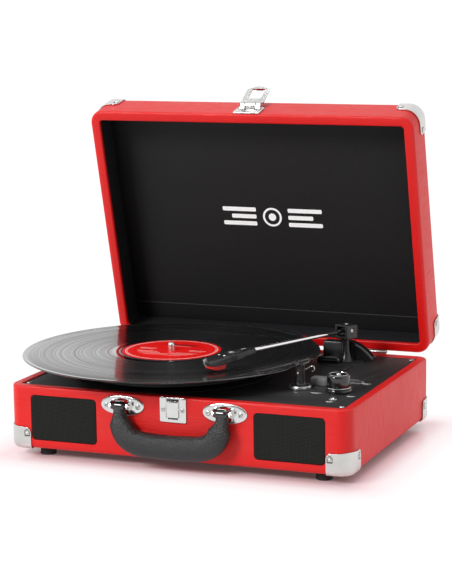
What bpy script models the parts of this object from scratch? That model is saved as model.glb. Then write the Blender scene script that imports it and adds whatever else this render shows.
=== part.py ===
"""Portable suitcase record player, modelled open with a 12 inch record on the platter.

Metres, +Z up, X across the front (right positive), Y from front to back.
The lid and its fittings are laid out in the shut position and then turned open about the hinge line.
"""

import math

import bmesh
import bpy
from mathutils import Matrix, Vector

# ---------------------------------------------------------------- driving dimensions (millimetres)
CASE_W = 354.0          # outer width
CASE_D = 259.0          # outer depth
FOOT_H = 9.0            # rubber feet
BASE_TOP = 71.6         # rim of the lower case above the table
WALL = 10.0             # board thickness seen at the rim
CORNER_R = 14.0         # vertical corner rounding
LID_H = 42.0            # depth of the lid
LID_WALL = 5.5          # lid board behind the lip
LID_LIP = 10.2          # lip seen at the lid's mouth
LID_OPEN = 75.5         # degrees from shut
HINGE_Y = 130.9
HINGE_Z = 72.9
DECK_Z = 70.6           # top face of the motor board
DECK_T = 3.0
REC_X, REC_Y = -52.0, -13.5
REC_R = 150.5           # 12 inch record
REC_TOP = 91.6
REC_T = 1.8
LABEL_R = 50.0
PLATTER_R = 98.0
PIV_X, PIV_Y = 103.0, 79.0     # tone arm pivot
ARM_Z = 104.5
ARM_DEG = 23.2                  # arm direction from -Y towards -X
GAP = 0.3

CENTRE = (12.125, -3.05, 0.0)   # moves the laid-out object so that its overall box stands centred on the origin

W2, D2 = CASE_W / 2, CASE_D / 2
MM = 0.001

for o in list(bpy.data.objects):
    bpy.data.objects.remove(o, do_unlink=True)

COL = bpy.data.collections.new("suitcase_record_player")
CUT = bpy.data.collections.new("cutters")
bpy.context.scene.collection.children.link(COL)
bpy.context.scene.collection.children.link(CUT)


# ---------------------------------------------------------------- materials
def material(name, colour, rough=0.5, metal=0.0, coat=0.0):
    m = bpy.data.materials.new(name)
    m.use_nodes = True
    b = m.node_tree.nodes["Principled BSDF"]
    b.inputs["Base Color"].default_value = (*colour, 1)
    b.inputs["Roughness"].default_value = rough
    b.inputs["Metallic"].default_value = metal
    b.inputs["Coat Weight"].default_value = coat
    m.diffuse_color = (*colour, 1)
    return m


MAT = {
    "red": ((0.62, 0.02, 0.015), 0.45, 0, 0.2),
    "black": ((0.03, 0.028, 0.03), 0.45, 0, 0),
    "dark": ((0.05, 0.05, 0.055), 0.6, 0, 0),
    "cloth": ((0.012, 0.013, 0.012), 0.9, 0, 0),
    "steel": ((0.75, 0.75, 0.74), 0.22, 1, 0),
    "silver": ((0.6, 0.6, 0.6), 0.35, 1, 0),
    "brass": ((0.7, 0.5, 0.2), 0.3, 1, 0),
    "rubber": ((0.02, 0.02, 0.02), 0.8, 0, 0),
    "vinyl": ((0.01, 0.01, 0.011), 0.15, 0, 0.5),
    "paper": ((0.75, 0.02, 0.01), 0.5, 0, 0),
    "board": ((0.25, 0.16, 0.08), 0.8, 0, 0),
    "green": ((0.02, 0.2, 0.06), 0.5, 0, 0),
    "felt": ((0.02, 0.02, 0.02), 0.95, 0, 0),
}


# ---------------------------------------------------------------- mesh helpers
def finish(bm, name, mat, origin=None, lid=False, bevel=0.0, segs=2, angle=40, smooth=True, extra=None):
    """Turn a bmesh in millimetres into a named object in metres, its origin on its own joint axis."""
    if extra is not None:
        bmesh.ops.transform(bm, matrix=extra, verts=bm.verts)
    if lid:
        bmesh.ops.transform(bm, matrix=LID_M, verts=bm.verts)
    bmesh.ops.remove_doubles(bm, verts=bm.verts, dist=0.0005)
    bmesh.ops.recalc_face_normals(bm, faces=bm.faces)
    if origin is None:
        lo = Vector([min(v.co[i] for v in bm.verts) for i in range(3)])
        hi = Vector([max(v.co[i] for v in bm.verts) for i in range(3)])
        origin = (lo + hi) / 2
    origin = Vector(origin)
    bmesh.ops.transform(bm, matrix=Matrix.Scale(MM, 4) @ Matrix.Translation(-origin), verts=bm.verts)
    me = bpy.data.meshes.new(name)
    bm.to_mesh(me)
    bm.free()
    ob = bpy.data.objects.new(name, me)
    ob.location = (origin + Vector(CENTRE)) * MM
    COL.objects.link(ob)
    if mat is not None:
        me.materials.append(material(name + "_mat", *MAT[mat]))
    if smooth:
        for p in me.polygons:
            p.use_smooth = True
        me.set_sharp_from_angle(angle=math.radians(angle))
    if bevel:
        b = ob.modifiers.new("bevel", "BEVEL")
        b.width = bevel * MM
        b.segments = segs
        b.limit_method = "ANGLE"
        b.angle_limit = math.radians(35)
    return ob


def cutter(bm, name, extra=None, lid=False):
    ob = finish(bm, name, None, smooth=False, lid=lid, extra=extra)
    COL.objects.unlink(ob)
    CUT.objects.link(ob)
    ob.hide_render = True
    ob.display_type = "WIRE"
    return ob


def cut(ob, tool, op="DIFFERENCE"):
    m = ob.modifiers.new("cut_" + tool.name, "BOOLEAN")
    m.object = tool
    m.operation = op
    m.solver = "EXACT"
    return ob


def rrect(cx, cy, hx, hy, r, seg=5):
    pts = []
    r = max(r, 0.01)
    for qx, qy, a0 in ((1, 1, 0), (-1, 1, 90), (-1, -1, 180), (1, -1, 270)):
        for k in range(seg + 1):
            a = math.radians(a0 + 90 * k / seg)
            pts.append((cx + qx * (hx - r) + r * math.cos(a), cy + qy * (hy - r) + r * math.sin(a)))
    return pts


def circle(cx, cy, r, n=32):
    return [(cx + r * math.cos(2 * math.pi * k / n), cy + r * math.sin(2 * math.pi * k / n)) for k in range(n)]


def skin(levels, closed=False):
    """Join rings of 3-D points, all with the same count, into one closed surface."""
    bm = bmesh.new()
    rings = [[bm.verts.new(p) for p in ring] for ring in levels]
    n = len(rings[0])
    pairs = list(zip(rings, rings[1:]))
    if closed:
        pairs.append((rings[-1], rings[0]))
    for a, b in pairs:
        for i in range(n):
            j = (i + 1) % n
            bm.faces.new((a[i], a[j], b[j], b[i]))
    if not closed:
        bm.faces.new(list(reversed(rings[0])))
        bm.faces.new(rings[-1])
    return bm


def at_z(pts, z):
    return [(x, y, z) for x, y in pts]


def prism(pts, z0, z1, chamfer=0.0, shrink=None):
    if not chamfer:
        return skin([at_z(pts, z0), at_z(pts, z1)])
    return skin([at_z(shrink, z0), at_z(pts, z0 + chamfer), at_z(pts, z1 - chamfer), at_z(shrink, z1)])


def slab(cx, cy, hx, hy, r, z0, z1, c=0.0, seg=5):
    a = rrect(cx, cy, hx, hy, r, seg)
    if not c:
        return prism(a, z0, z1)
    return prism(a, z0, z1, c, rrect(cx, cy, hx - c, hy - c, r - c, seg))


def lathe(profile, cx=0.0, cy=0.0, n=32, closed=False):
    """profile is (radius, z) pairs; closed joins the last ring to the first, as a washer needs."""
    return skin([at_z(circle(cx, cy, r, n), z) for r, z in profile], closed)


def box(x0, x1, y0, y1, z0, z1):
    bm = bmesh.new()
    bmesh.ops.create_cube(bm, size=1.0)
    bmesh.ops.transform(
        bm,
        matrix=Matrix.Translation(((x0 + x1) / 2, (y0 + y1) / 2, (z0 + z1) / 2))
        @ Matrix.Diagonal((x1 - x0, y1 - y0, z1 - z0, 1)),
        verts=bm.verts,
    )
    return bm


def rod(p0, p1, r, n=16):
    p0, p1 = Vector(p0), Vector(p1)
    d = (p1 - p0).normalized()
    u = d.orthogonal().normalized()
    v = d.cross(u)
    rings = []
    for p in (p0, p1):
        rings.append([p + u * r * math.cos(2 * math.pi * k / n) + v * r * math.sin(2 * math.pi * k / n) for k in range(n)])
    return skin(rings)


def sweep(points, half_w, half_t, width_dir, n=12, power=2.6):
    """Superellipse sections along a path; half_w lies across the path, half_t along width_dir."""
    pts = [Vector(p) for p in points]
    t_dir = Vector(width_dir).normalized()
    rings = []
    for i, p in enumerate(pts):
        a = pts[max(i - 1, 0)]
        b = pts[min(i + 1, len(pts) - 1)]
        tang = (b - a).normalized()
        side = tang.cross(t_dir).normalized()
        up = side.cross(tang).normalized()
        w = half_w[i] if isinstance(half_w, (list, tuple)) else half_w
        t = half_t[i] if isinstance(half_t, (list, tuple)) else half_t
        ring = []
        for k in range(n):
            ang = 2 * math.pi * (k + 0.5) / n
            c, s = math.cos(ang), math.sin(ang)
            e = 2.0 / power
            ring.append(p + side * w * math.copysign(abs(c) ** e, c) + up * t * math.copysign(abs(s) ** e, s))
        rings.append(ring)
    return skin(rings)


def smooth_path(points, per=6):
    """Catmull-Rom curve through the points."""
    pts = [Vector(p) for p in points]
    ext = [pts[0] * 2 - pts[1]] + pts + [pts[-1] * 2 - pts[-2]]
    out = []
    for i in range(1, len(ext) - 2):
        p0, p1, p2, p3 = ext[i - 1], ext[i], ext[i + 1], ext[i + 2]
        for k in range(per):
            t = k / per
            out.append(
                0.5 * ((2 * p1) + (p2 - p0) * t + (2 * p0 - 5 * p1 + 4 * p2 - p3) * t * t + (3 * p1 - p0 - 3 * p2 + p3) * t ** 3)
            )
    out.append(pts[-1])
    return out


FRONT = Matrix.Rotation(math.radians(90), 4, "X")  # (x, y, z) -> (x, -z, y): a plan outline stands up, its z runs to the front
LID_M = (
    Matrix.Translation((0, HINGE_Y, HINGE_Z))
    @ Matrix.Rotation(math.radians(-LID_OPEN), 4, "X")
    @ Matrix.Translation((0, -HINGE_Y, -HINGE_Z))
)


def lid_point(x, y, z):
    return LID_M @ Vector((x, y, z))


# ---------------------------------------------------------------- lower case
def base_ring(i, z, r=None):
    return at_z(rrect(0, 0, W2 - i, D2 - i, (CORNER_R - i) if r is None else r, 5), z)


B0, B1 = FOOT_H, BASE_TOP
base = finish(
    skin(
        [
            base_ring(5.0, B0),
            base_ring(2.2, B0 + 0.8),
            base_ring(0.6, B0 + 2.6),
            base_ring(0.0, B0 + 5.0),
            base_ring(0.0, B1 - 1.2),
            base_ring(0.4, B1 - 0.35),
            base_ring(1.2, B1),
            base_ring(WALL - 0.8, B1, 4.0),
            base_ring(WALL, B1 - 0.8, 4.0),
            base_ring(WALL, B0, 4.0),
        ],
        closed=True,
    ),
    "base_case",
    "red",
)
for side in (-1, 1):
    tag = "left" if side < 0 else "right"
    cut(base, cutter(slab(117.0 * side, 40.6, 31.0, 18.5, 3.0, 110.0, 140.0, 0, 3), "cut_speaker_" + tag, FRONT))
    cut(base, cutter(slab(117.0 * side, 40.6, 35.5, 22.6, 4.3, D2 - 1.4, 140.0), "cut_grille_" + tag, FRONT))
    cut(base, cutter(rod((105.0 * side - 26, HINGE_Y, HINGE_Z), (105.0 * side + 26, HINGE_Y, HINGE_Z), 3.0, 20), "cut_barrel_" + tag))
for x, nm in ((-78.0, "rca_left"), (-62.0, "rca_right"), (-30.0, "dc")):
    cut(base, cutter(rod((x, 112.0, 36.0), (x, 140.0, 36.0), 4.6, 20), "cut_" + nm))

finish(slab(0, 0, W2 - WALL - GAP, D2 - WALL - GAP, 3.7, B0 + 1.0, B0 + 4.0), "base_bottom_panel", "board")

deck = finish(
    slab(0, 0, W2 - WALL - GAP, D2 - WALL - GAP, 3.7, DECK_Z - DECK_T, DECK_Z, 0.4),
    "deck_plate",
    "black",
)
cut(deck, cutter(lathe([(6.3, 60), (6.3, 80)], REC_X, REC_Y, 24), "cut_bearing"))
cut(deck, cutter(lathe([(5.3, 60), (5.3, 80)], REC_X + 46.0, REC_Y + 38.0, 20), "cut_pulley"))
cut(deck, cutter(lathe([(4.0, 60), (4.0, 80)], 139.5, -52.9, 20), "cut_volume"))
cut(deck, cutter(slab(112.4, -29.5, 3.0, 8.0, 0.5, 60, 80, 0, 2), "cut_selector"))
cut(deck, cutter(slab(140.2, -8.2, 5.0, 1.2, 0.3, 60, 80, 0, 2), "cut_autostop"))
cut(deck, cutter(lathe([(3.4, 60), (3.4, 80)], 144.5, -85.5, 20), "cut_jack"))
rib = cutter(slab(113.0, 78.5, 1.6, 40.0, 1.4, DECK_Z - 1.5, DECK_Z + 1.6, 0, 3), "add_rib")
cut(deck, rib, "UNION")
trim = cutter(lathe([(24.0, DECK_Z - 1.5), (24.0, DECK_Z + 0.7), (23.0, DECK_Z + 1.2)], PIV_X - 6, PIV_Y, 32), "add_arm_pad")
cut(deck, trim, "UNION")

# ---------------------------------------------------------------- loudspeakers
for side in (-1, 1):
    tag = "left" if side < 0 else "right"
    cx = 117.0 * side
    finish(slab(cx, 40.6, 35.1, 22.2, 4.0, D2 - 1.1, D2 + 0.5, 0.35), "speaker_grille_" + tag, "cloth", extra=FRONT)
    cone = [
        (6.0, 100.0), (13.0, 100.0), (13.0, 108.0), (19.0, 112.0), (23.5, 117.0), (26.8, 117.4), (26.8, 119.1),
        (22.5, 119.1), (17.0, 114.0), (7.0, 109.0), (6.0, 110.5),
    ]
    finish(lathe(cone, cx, 40.6, 20), "speaker_driver_" + tag, "dark", extra=FRONT)

# ---------------------------------------------------------------- feet and lower corner caps
for sx in (-1, 1):
    for sy in (-1, 1):
        nm = ("front" if sy < 0 else "rear") + "_" + ("left" if sx < 0 else "right")
        finish(
            lathe([(7.4, 0.0), (8.0, 0.6), (7.6, FOOT_H - GAP - 0.01), (3.0, FOOT_H - GAP), (3.0, B0 + 0.7)], 144.5 * sx, 110.0 * sy, 18),
            "foot_" + nm,
            "rubber",
        )


def cap(name, sx, sy, levels_out, levels_in, block, lid=False):
    """A thin steel cap: the case corner swelled by 1.2 mm, less the case swelled by a fit gap, kept inside a block."""
    ob = finish(skin(levels_out), name, "steel", origin=block[3], lid=lid, angle=50)
    cut(ob, cutter(skin(levels_in), "cut_in_" + name, lid=lid))
    cut(ob, cutter(prism(block[0], block[1], block[2]), "keep_" + name, lid=lid), "INTERSECT")
    return ob


def swell(e, zs, seg=5):
    return [at_z(rrect(0, 0, W2 - i + e, D2 - i + e, CORNER_R - i + e, seg), z) for i, z in zs]


def corner_plan(sx, sy, lx, ly, r=7.0):
    """Plan block that covers one corner: from outside the case to lx, ly inside it, its inner corner rounded off."""
    x1, y1 = (W2 + 4) * sx, (D2 + 4) * sy
    x0, y0 = (W2 - lx) * sx, (D2 - ly) * sy
    pts = [(x1, y1), (x0, y1), (x0, y0), (x1, y0)]
    if sx * sy < 0:
        pts.reverse()
    return pts


base_out = [(5.0 + 1.0, B0 - 0.9), (2.2, B0 - 0.4), (0.6, B0 + 2.2), (0.0, B0 + 5.0), (0.0, B0 + 23.0)]
base_in = [(5.2, B0 - 0.25), (2.3, B0 + 0.5), (0.6, B0 + 2.5), (0.0, B0 + 5.0), (0.0, B0 + 40.0)]
for sx in (-1, 1):
    for sy in (-1, 1):
        nm = ("front" if sy < 0 else "rear") + "_" + ("left" if sx < 0 else "right")
        cap(
            "base_corner_" + nm, sx, sy,
            swell(1.25, base_out), swell(0.25, base_in),
            (corner_plan(sx, sy, 24.0, 27.0), 0.0, B0 + 22.0, (W2 * sx - 10 * sx, D2 * sy - 10 * sy, B0 + 11)),
        )

# ---------------------------------------------------------------- handle and its plates
HP_X, HP_Y, HP_Z = 53.0, -(D2 + 7.6), 61.0
for side in (-1, 1):
    tag = "left" if side < 0 else "right"
    cx = HP_X * side
    oval = []
    for k in range(32):
        a = 2 * math.pi * k / 32
        c, s = math.cos(a), math.sin(a)
        oval.append((cx + 22.6 * math.copysign(abs(c) ** 0.92, c), 60.0 + 9.7 * math.copysign(abs(s) ** 0.92, s)))
    ovin = [(cx + (x - cx) * 0.97, 60.0 + (z - 60.0) * 0.93) for x, z in oval]
    bm = skin([at_z(oval, D2 + 0.3), at_z(oval, D2 + 1.0), at_z(ovin, D2 + 1.6)])
    plate = finish(bm, "handle_plate_" + tag, "steel", extra=FRONT)
    arch = [(cx + 7.4, 52.5), (cx + 7.4, 60.0)]
    arch += [(cx + 7.4 * math.cos(math.radians(a)), 60.5 + 6.6 * math.sin(math.radians(a))) for a in range(20, 161, 20)]
    arch += [(cx - 7.4, 60.0), (cx - 7.4, 52.5)]
    cut(plate, cutter(prism(arch, D2 - 1, D2 + 4), "cut_arch_" + tag, FRONT))
    for e in (-1, 1):
        x = cx + 8.6 * e
        ear = [(-(D2 + 1.0), 57.0), (HP_Y, 57.6), (HP_Y - 2.6, 59.0), (HP_Y - 3.3, 61.0), (HP_Y - 2.6, 63.0), (HP_Y, 64.4), (-(D2 + 1.0), 65.0)]
        bm = skin([[(x - 0.8, y, z) for y, z in ear], [(x + 0.8, y, z) for y, z in ear]])
        cut(plate, cutter(bm, "add_ear_" + tag + ("a" if e < 0 else "b")), "UNION")
    cut(plate, cutter(rod((cx - 10.2, HP_Y, HP_Z), (cx + 10.2, HP_Y, HP_Z), 1.25, 16), "add_pin_" + tag), "UNION")

hy = HP_Y
path = smooth_path(
    [
        (-HP_X, hy, HP_Z + 4.4), (-HP_X, hy, HP_Z - 3.5), (-52.6, hy - 0.8, 51.0), (-51.0, hy - 2.2, 43.0), (-45.0, hy - 3.2, 32.5),
        (-34.0, hy - 3.6, 26.4), (-17.0, hy - 3.6, 25.0), (0.0, hy - 3.6, 24.8), (17.0, hy - 3.6, 25.0), (34.0, hy - 3.6, 26.4),
        (45.0, hy - 3.2, 32.5), (51.0, hy - 2.2, 43.0), (52.6, hy - 0.8, 51.0), (HP_X, hy, HP_Z - 3.5), (HP_X, hy, HP_Z + 4.4),
    ],
    2,
)
keys_w = [3.6, 5.2, 7.2, 9.6, 11.6, 12.0, 11.9, 11.8, 11.9, 12.0, 11.6, 9.6, 7.2, 5.2, 3.6]
keys_t = [3.4, 4.6, 5.4, 6.4, 7.4, 7.9, 8.0, 8.0, 8.0, 7.9, 7.4, 6.4, 5.4, 4.6, 3.4]


def spread(keys, per):
    out = []
    for a, b in zip(keys, keys[1:]):
        out += [a + (b - a) * k / per for k in range(per)]
    return out + [keys[-1]]


handle = finish(
    sweep(path, spread(keys_w, 2), spread(keys_t, 2), (0, -1, 0), 12, 2.5), "handle_grip", "dark", origin=(0, HP_Y, HP_Z), angle=60
)
for side in (-1, 1):
    tag = "left" if side < 0 else "right"
    cut(handle, cutter(rod((HP_X * side - 14, HP_Y, HP_Z), (HP_X * side + 14, HP_Y, HP_Z), 1.55, 16), "cut_eye_" + tag))

# ---------------------------------------------------------------- lower latch plate
catch = finish(slab(0, 59.4, 13.6, 12.2, 1.6, D2 + 0.3, D2 + 1.5, 0.3, 3), "latch_catch", "steel", extra=FRONT)
cut(catch, cutter(slab(0, 61.2, 6.6, 7.8, 1.2, D2 + 0.9, D2 + 3.4, 0.5, 3), "add_catch_boss", FRONT), "UNION")

# ---------------------------------------------------------------- lid, laid out shut
L0, L1 = BASE_TOP + 0.6, BASE_TOP + LID_H


def lid_ring(i, z, r=None):
    return at_z(rrect(0, 0, W2 - i, D2 - i, (CORNER_R - i) if r is None else r, 5), z)


lid = finish(
    skin(
        [
            lid_ring(LID_WALL, L1 - 3.0, 5.0),
            lid_ring(LID_WALL, L0 + 4.6, 5.0),
            lid_ring(LID_LIP, L0 + 4.0, 4.0),
            lid_ring(LID_LIP, L0 + 0.8, 4.0),
            lid_ring(LID_LIP - 0.8, L0, 4.0),
            lid_ring(1.2, L0),
            lid_ring(0.4, L0 + 0.35),
            lid_ring(0.0, L0 + 1.2),
            lid_ring(0.0, L1 - 5.0),
            lid_ring(0.6, L1 - 2.6),
            lid_ring(2.2, L1 - 0.8),
            lid_ring(5.0, L1),
        ]
    ),
    "lid_shell",
    "red",
    origin=(0, HINGE_Y, HINGE_Z),
    lid=True,
)
for side in (-1, 1):
    tag = "left" if side < 0 else "right"
    cut(lid, cutter(rod((105.0 * side - 26, HINGE_Y, HINGE_Z), (105.0 * side + 26, HINGE_Y, HINGE_Z), 3.0, 20), "cut_lid_barrel_" + tag))
finish(
    slab(0, 0, W2 - LID_WALL - GAP, D2 - LID_WALL - GAP, 4.7, L1 - 4.9, L1 - 3.3), "lid_liner", "black", origin=(0, HINGE_Y, HINGE_Z), lid=True
)
lid_out = [(0.0, L1 - 22.5), (0.0, L1 - 5.0), (0.6, L1 - 2.2), (2.2, L1 + 0.4), (6.0, L1 + 0.9)]
lid_in = [(0.0, L1 - 40.0), (0.0, L1 - 5.0), (0.6, L1 - 2.5), (2.3, L1 - 0.5), (5.2, L1 + 0.25)]
for sx in (-1, 1):
    for sy in (-1, 1):
        nm = ("top" if sy < 0 else "bottom") + "_" + ("left" if sx < 0 else "right")
        cap(
            "lid_corner_" + nm, sx, sy,
            swell(1.25, lid_out), swell(0.25, lid_in),
            (corner_plan(sx, sy, 24.0, 27.0), L1 - 21.5, L1 + 8.0, lid_point((W2 - 10) * sx, (D2 - 10) * sy, L1 - 8)),
            lid=True,
        )

# upper latch plate, its hinge ears and the hasp, folded back from the shut position
HS_Y, HS_Z = -(D2 + 4.3), L0 + 17.5
HASP_OPEN = 163.0
lplate = finish(slab(0, L0 + 9.4, 14.6, 8.8, 1.6, D2 + 0.3, D2 + 1.4, 0.3, 3), "latch_plate", "steel", lid=True, extra=FRONT)
for e in (-1, 1):
    x0 = 8.6 * e - 2.2
    ear = [(-(D2 + 0.8), HS_Z - 3.0), (HS_Y + 0.6, HS_Z - 2.2), (HS_Y - 1.4, HS_Z - 1.6), (HS_Y - 2.1, HS_Z), (HS_Y - 1.4, HS_Z + 1.6), (HS_Y + 0.6, HS_Z + 2.2), (-(D2 + 0.8), HS_Z + 2.2)]
    bm = skin([[(x0, y, z) for y, z in ear], [(x0 + 4.4, y, z) for y, z in ear]])
    cut(lplate, cutter(bm, "add_latch_ear_" + ("a" if e < 0 else "b"), lid=True), "UNION")
cut(lplate, cutter(rod((-20, HS_Y, HS_Z), (20, HS_Y, HS_Z), 1.25, 14), "cut_latch_pin", lid=True))

HASP_M = Matrix.Translation((0, HS_Y, HS_Z)) @ Matrix.Rotation(math.radians(-HASP_OPEN), 4, "X") @ Matrix.Translation((0, -HS_Y, -HS_Z))
hz1, hz0 = HS_Z + 1.0, HS_Z - 32.0
outline = [
    (5.8, hz1 + 1.2), (5.8, HS_Z - 3.2), (12.4, HS_Z - 3.6), (12.4, hz0 + 7.0), (10.6, hz0 + 3.6), (6.4, hz0 + 2.0), (4.0, hz0),
    (-4.0, hz0), (-6.4, hz0 + 2.0), (-10.6, hz0 + 3.6), (-12.4, hz0 + 7.0), (-12.4, HS_Z - 3.6), (-5.8, HS_Z - 3.2), (-5.8, hz1 + 1.2),
]
hasp = finish(
    skin([at_z(outline, -HS_Y - 0.2), at_z(outline, -HS_Y + 1.4)]), "latch_hasp", "steel",
    origin=lid_point(0, HS_Y, HS_Z), lid=True, extra=HASP_M @ FRONT,
)
cut(hasp, cutter(rod((-5.8, HS_Y, HS_Z), (5.8, HS_Y, HS_Z), 2.3, 16), "add_hasp_eye", lid=True, extra=HASP_M), "UNION")
cut(hasp, cutter(slab(0, HS_Z - 19.5, 7.2, 8.6, 1.0, -HS_Y - 4, -HS_Y + 5, 0, 3), "cut_hasp_window", lid=True, extra=HASP_M @ FRONT))
cut(hasp, cutter(rod((-10.4, HS_Y, HS_Z), (10.4, HS_Y, HS_Z), 0.95, 14), "add_hasp_pin", lid=True, extra=HASP_M), "UNION")

# ---------------------------------------------------------------- hinges
for side in (-1, 1):
    tag = "left" if side < 0 else "right"
    cx = 105.0 * side
    back = D2 + 0.3
    a = finish(box(cx - 25, cx + 25, back, back + 1.1, 48.0, 69.0), "hinge_leaf_base_" + tag, "steel")
    cut(a, cutter(box(cx - 7.7, cx + 7.7, back, back + 1.1, 68.0, 71.4), "add_neck_b_" + tag), "UNION")
    cut(a, cutter(rod((cx - 7.7, HINGE_Y, HINGE_Z), (cx + 7.7, HINGE_Y, HINGE_Z), 2.2, 18), "add_knuckle_b_" + tag), "UNION")
    b = finish(box(cx - 25, cx + 25, back, back + 1.1, 77.0, 98.0), "hinge_leaf_lid_" + tag, "steel", origin=(cx, HINGE_Y, HINGE_Z), lid=True)
    for e in (-1, 1):
        x0, x1 = (cx - 25, cx - 8) if e < 0 else (cx + 8, cx + 25)
        cut(b, cutter(box(x0, x1, back, back + 1.1, 74.4, 78.0), "add_neck_l_" + tag + ("a" if e < 0 else "b"), lid=True), "UNION")
        cut(b, cutter(rod((x0, HINGE_Y, HINGE_Z), (x1, HINGE_Y, HINGE_Z), 2.2, 18), "add_knuckle_l_" + tag + ("a" if e < 0 else "b"), lid=True), "UNION")

# ---------------------------------------------------------------- motor, belt, platter, record
PT = REC_TOP - REC_T - GAP          # top of slipmat
MX, MY = REC_X + 46.0, REC_Y + 38.0
finish(lathe([(4.6, 30.0), (16.0, 30.0), (17.5, 31.5), (17.5, 60.0), (16.0, 62.0), (3.4, 62.0), (3.4, 63.4), (1.6, 63.4)], MX, MY, 20), "motor", "silver")
finish(lathe([(1.0, 63.9), (4.2, 63.9), (4.2, 75.0), (3.6, 75.6), (3.6, 79.4), (4.4, 80.0), (4.4, 80.8), (1.0, 80.8)], MX, MY, 18), "motor_pulley", "brass", origin=(MX, MY, 72))
finish(
    lathe([(5.9, B0 + 4.3), (16.0, B0 + 4.3), (16.0, B0 + 6.0), (6.0, B0 + 8.0), (6.0, 72.0), (3.4, 72.0), (3.4, B0 + 9.0), (2.0, B0 + 8.6)], REC_X, REC_Y, 20),
    "platter_bearing", "brass",
)
finish(
    lathe(
        [
            (3.9, 72.6), (11.5, 72.6), (11.5, 83.8), (49.0, 83.8), (49.0, 74.5), (52.0, 74.5), (52.0, 83.8), (PLATTER_R - 9.0, 83.8),
            (PLATTER_R - 9.0, 74.6), (PLATTER_R - 0.6, 74.6), (PLATTER_R, 75.2), (PLATTER_R, PT - 2.4), (PLATTER_R - 0.9, PT - 1.5), (3.9, PT - 1.5),
        ],
        REC_X, REC_Y, 44, closed=True,
    ),
    "platter", "dark", origin=(REC_X, REC_Y, 80),
)
finish(lathe([(3.9, PT - 1.2), (PLATTER_R - 1.5, PT - 1.2), (PLATTER_R - 1.5, PT), (3.9, PT)], REC_X, REC_Y, 44, closed=True), "slipmat", "felt", origin=(REC_X, REC_Y, PT))
finish(
    lathe([(3.0, B0 + 9.4), (3.1, B0 + 9.8), (3.1, 73.0), (3.6, 73.0), (3.6, PT - 0.2), (3.45, PT + 0.1), (3.45, REC_TOP + 6.0), (2.6, REC_TOP + 7.6), (1.0, REC_TOP + 8.2)], REC_X, REC_Y, 18),
    "spindle", "silver", origin=(REC_X, REC_Y, REC_TOP),
)
finish(
    lathe(
        [
            (3.8, REC_TOP - REC_T), (REC_R - 0.8, REC_TOP - REC_T), (REC_R, REC_TOP - REC_T + 0.5), (REC_R, REC_TOP - 0.5), (REC_R - 0.8, REC_TOP), (REC_R - 4.0, REC_TOP - 0.3),
            (LABEL_R + 3.0, REC_TOP - 0.3), (LABEL_R + 2.0, REC_TOP - 0.05), (3.8, REC_TOP - 0.05),
        ],
        REC_X, REC_Y, 72, closed=True,
    ),
    "record", "vinyl", origin=(REC_X, REC_Y, REC_TOP),
)
finish(lathe([(3.8, REC_TOP + 0.0), (LABEL_R, REC_TOP + 0.0), (LABEL_R, REC_TOP + 0.15), (3.8, REC_TOP + 0.15)], REC_X, REC_Y, 48, closed=True), "record_label", "paper", origin=(REC_X, REC_Y, REC_TOP))

# flat rubber belt from the pulley round the inner rim of the platter
BR, PR, bz0, bz1 = 52.3, 3.9, 76.2, 78.8
d = math.hypot(MX - REC_X, MY - REC_Y)
base_a = math.atan2(MY - REC_Y, MX - REC_X)
off = math.acos((BR - PR) / d)
loop = []
for k in range(37):
    a = base_a + off + (2 * math.pi - 2 * off) * k / 36
    loop.append((REC_X, REC_Y, BR, a))
for k in range(9):
    a = base_a - off + 2 * off * k / 8
    loop.append((MX, MY, PR, a))


def belt_ring(extra, z):
    return [(cx + (r + extra) * math.cos(a), cy + (r + extra) * math.sin(a), z) for cx, cy, r, a in loop]


finish(skin([belt_ring(0, bz0), belt_ring(0.8, bz0), belt_ring(0.8, bz1), belt_ring(0, bz1)], closed=True), "drive_belt", "rubber")

# ---------------------------------------------------------------- tone arm
PIV = Vector((PIV_X, PIV_Y, ARM_Z))
ARM_M = Matrix.Translation(PIV) @ Matrix.Rotation(math.radians(-ARM_DEG), 4, "Z")   # local -Y runs out along the arm
column = finish(
    lathe(
        [(2.6, DECK_Z + 1.5), (7.8, DECK_Z + 1.5), (7.8, DECK_Z + 2.6), (6.0, DECK_Z + 5.0), (4.2, DECK_Z + 9.5), (3.2, DECK_Z + 15.0), (3.0, 95.2), (1.4, 95.2)],
        PIV_X, PIV_Y, 22,
    ),
    "tonearm_base", "black", origin=(PIV_X, PIV_Y, DECK_Z),
)
# low housing of the arm's bearing, left of the column
cut(column, cutter(slab(PIV_X - 13.0, PIV_Y + 2.5, 11.0, 7.0, 2.0, DECK_Z + 1.5, 92.6, 0.8, 4), "add_arm_housing"), "UNION")


# the yoke turns about the vertical axis: a housing, open front and back, that holds the arm's cross pivot
yoke = finish(box(-8.4, 8.4, -8.2, 8.2, -8.6, 6.4), "tonearm_yoke", "dark", origin=PIV, extra=ARM_M)
cut(yoke, cutter(box(-5.2, 5.2, -12.0, 12.0, -5.6, 4.6), "cut_yoke", extra=ARM_M))
cut(yoke, cutter(rod((-7.2, 0, 0), (7.2, 0, 0), 1.9, 16), "cut_trunnion", extra=ARM_M))
bv = yoke.modifiers.new("bevel", "BEVEL")
bv.width, bv.segments, bv.limit_method, bv.angle_limit = 0.6 * MM, 1, "ANGLE", math.radians(60)

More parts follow.
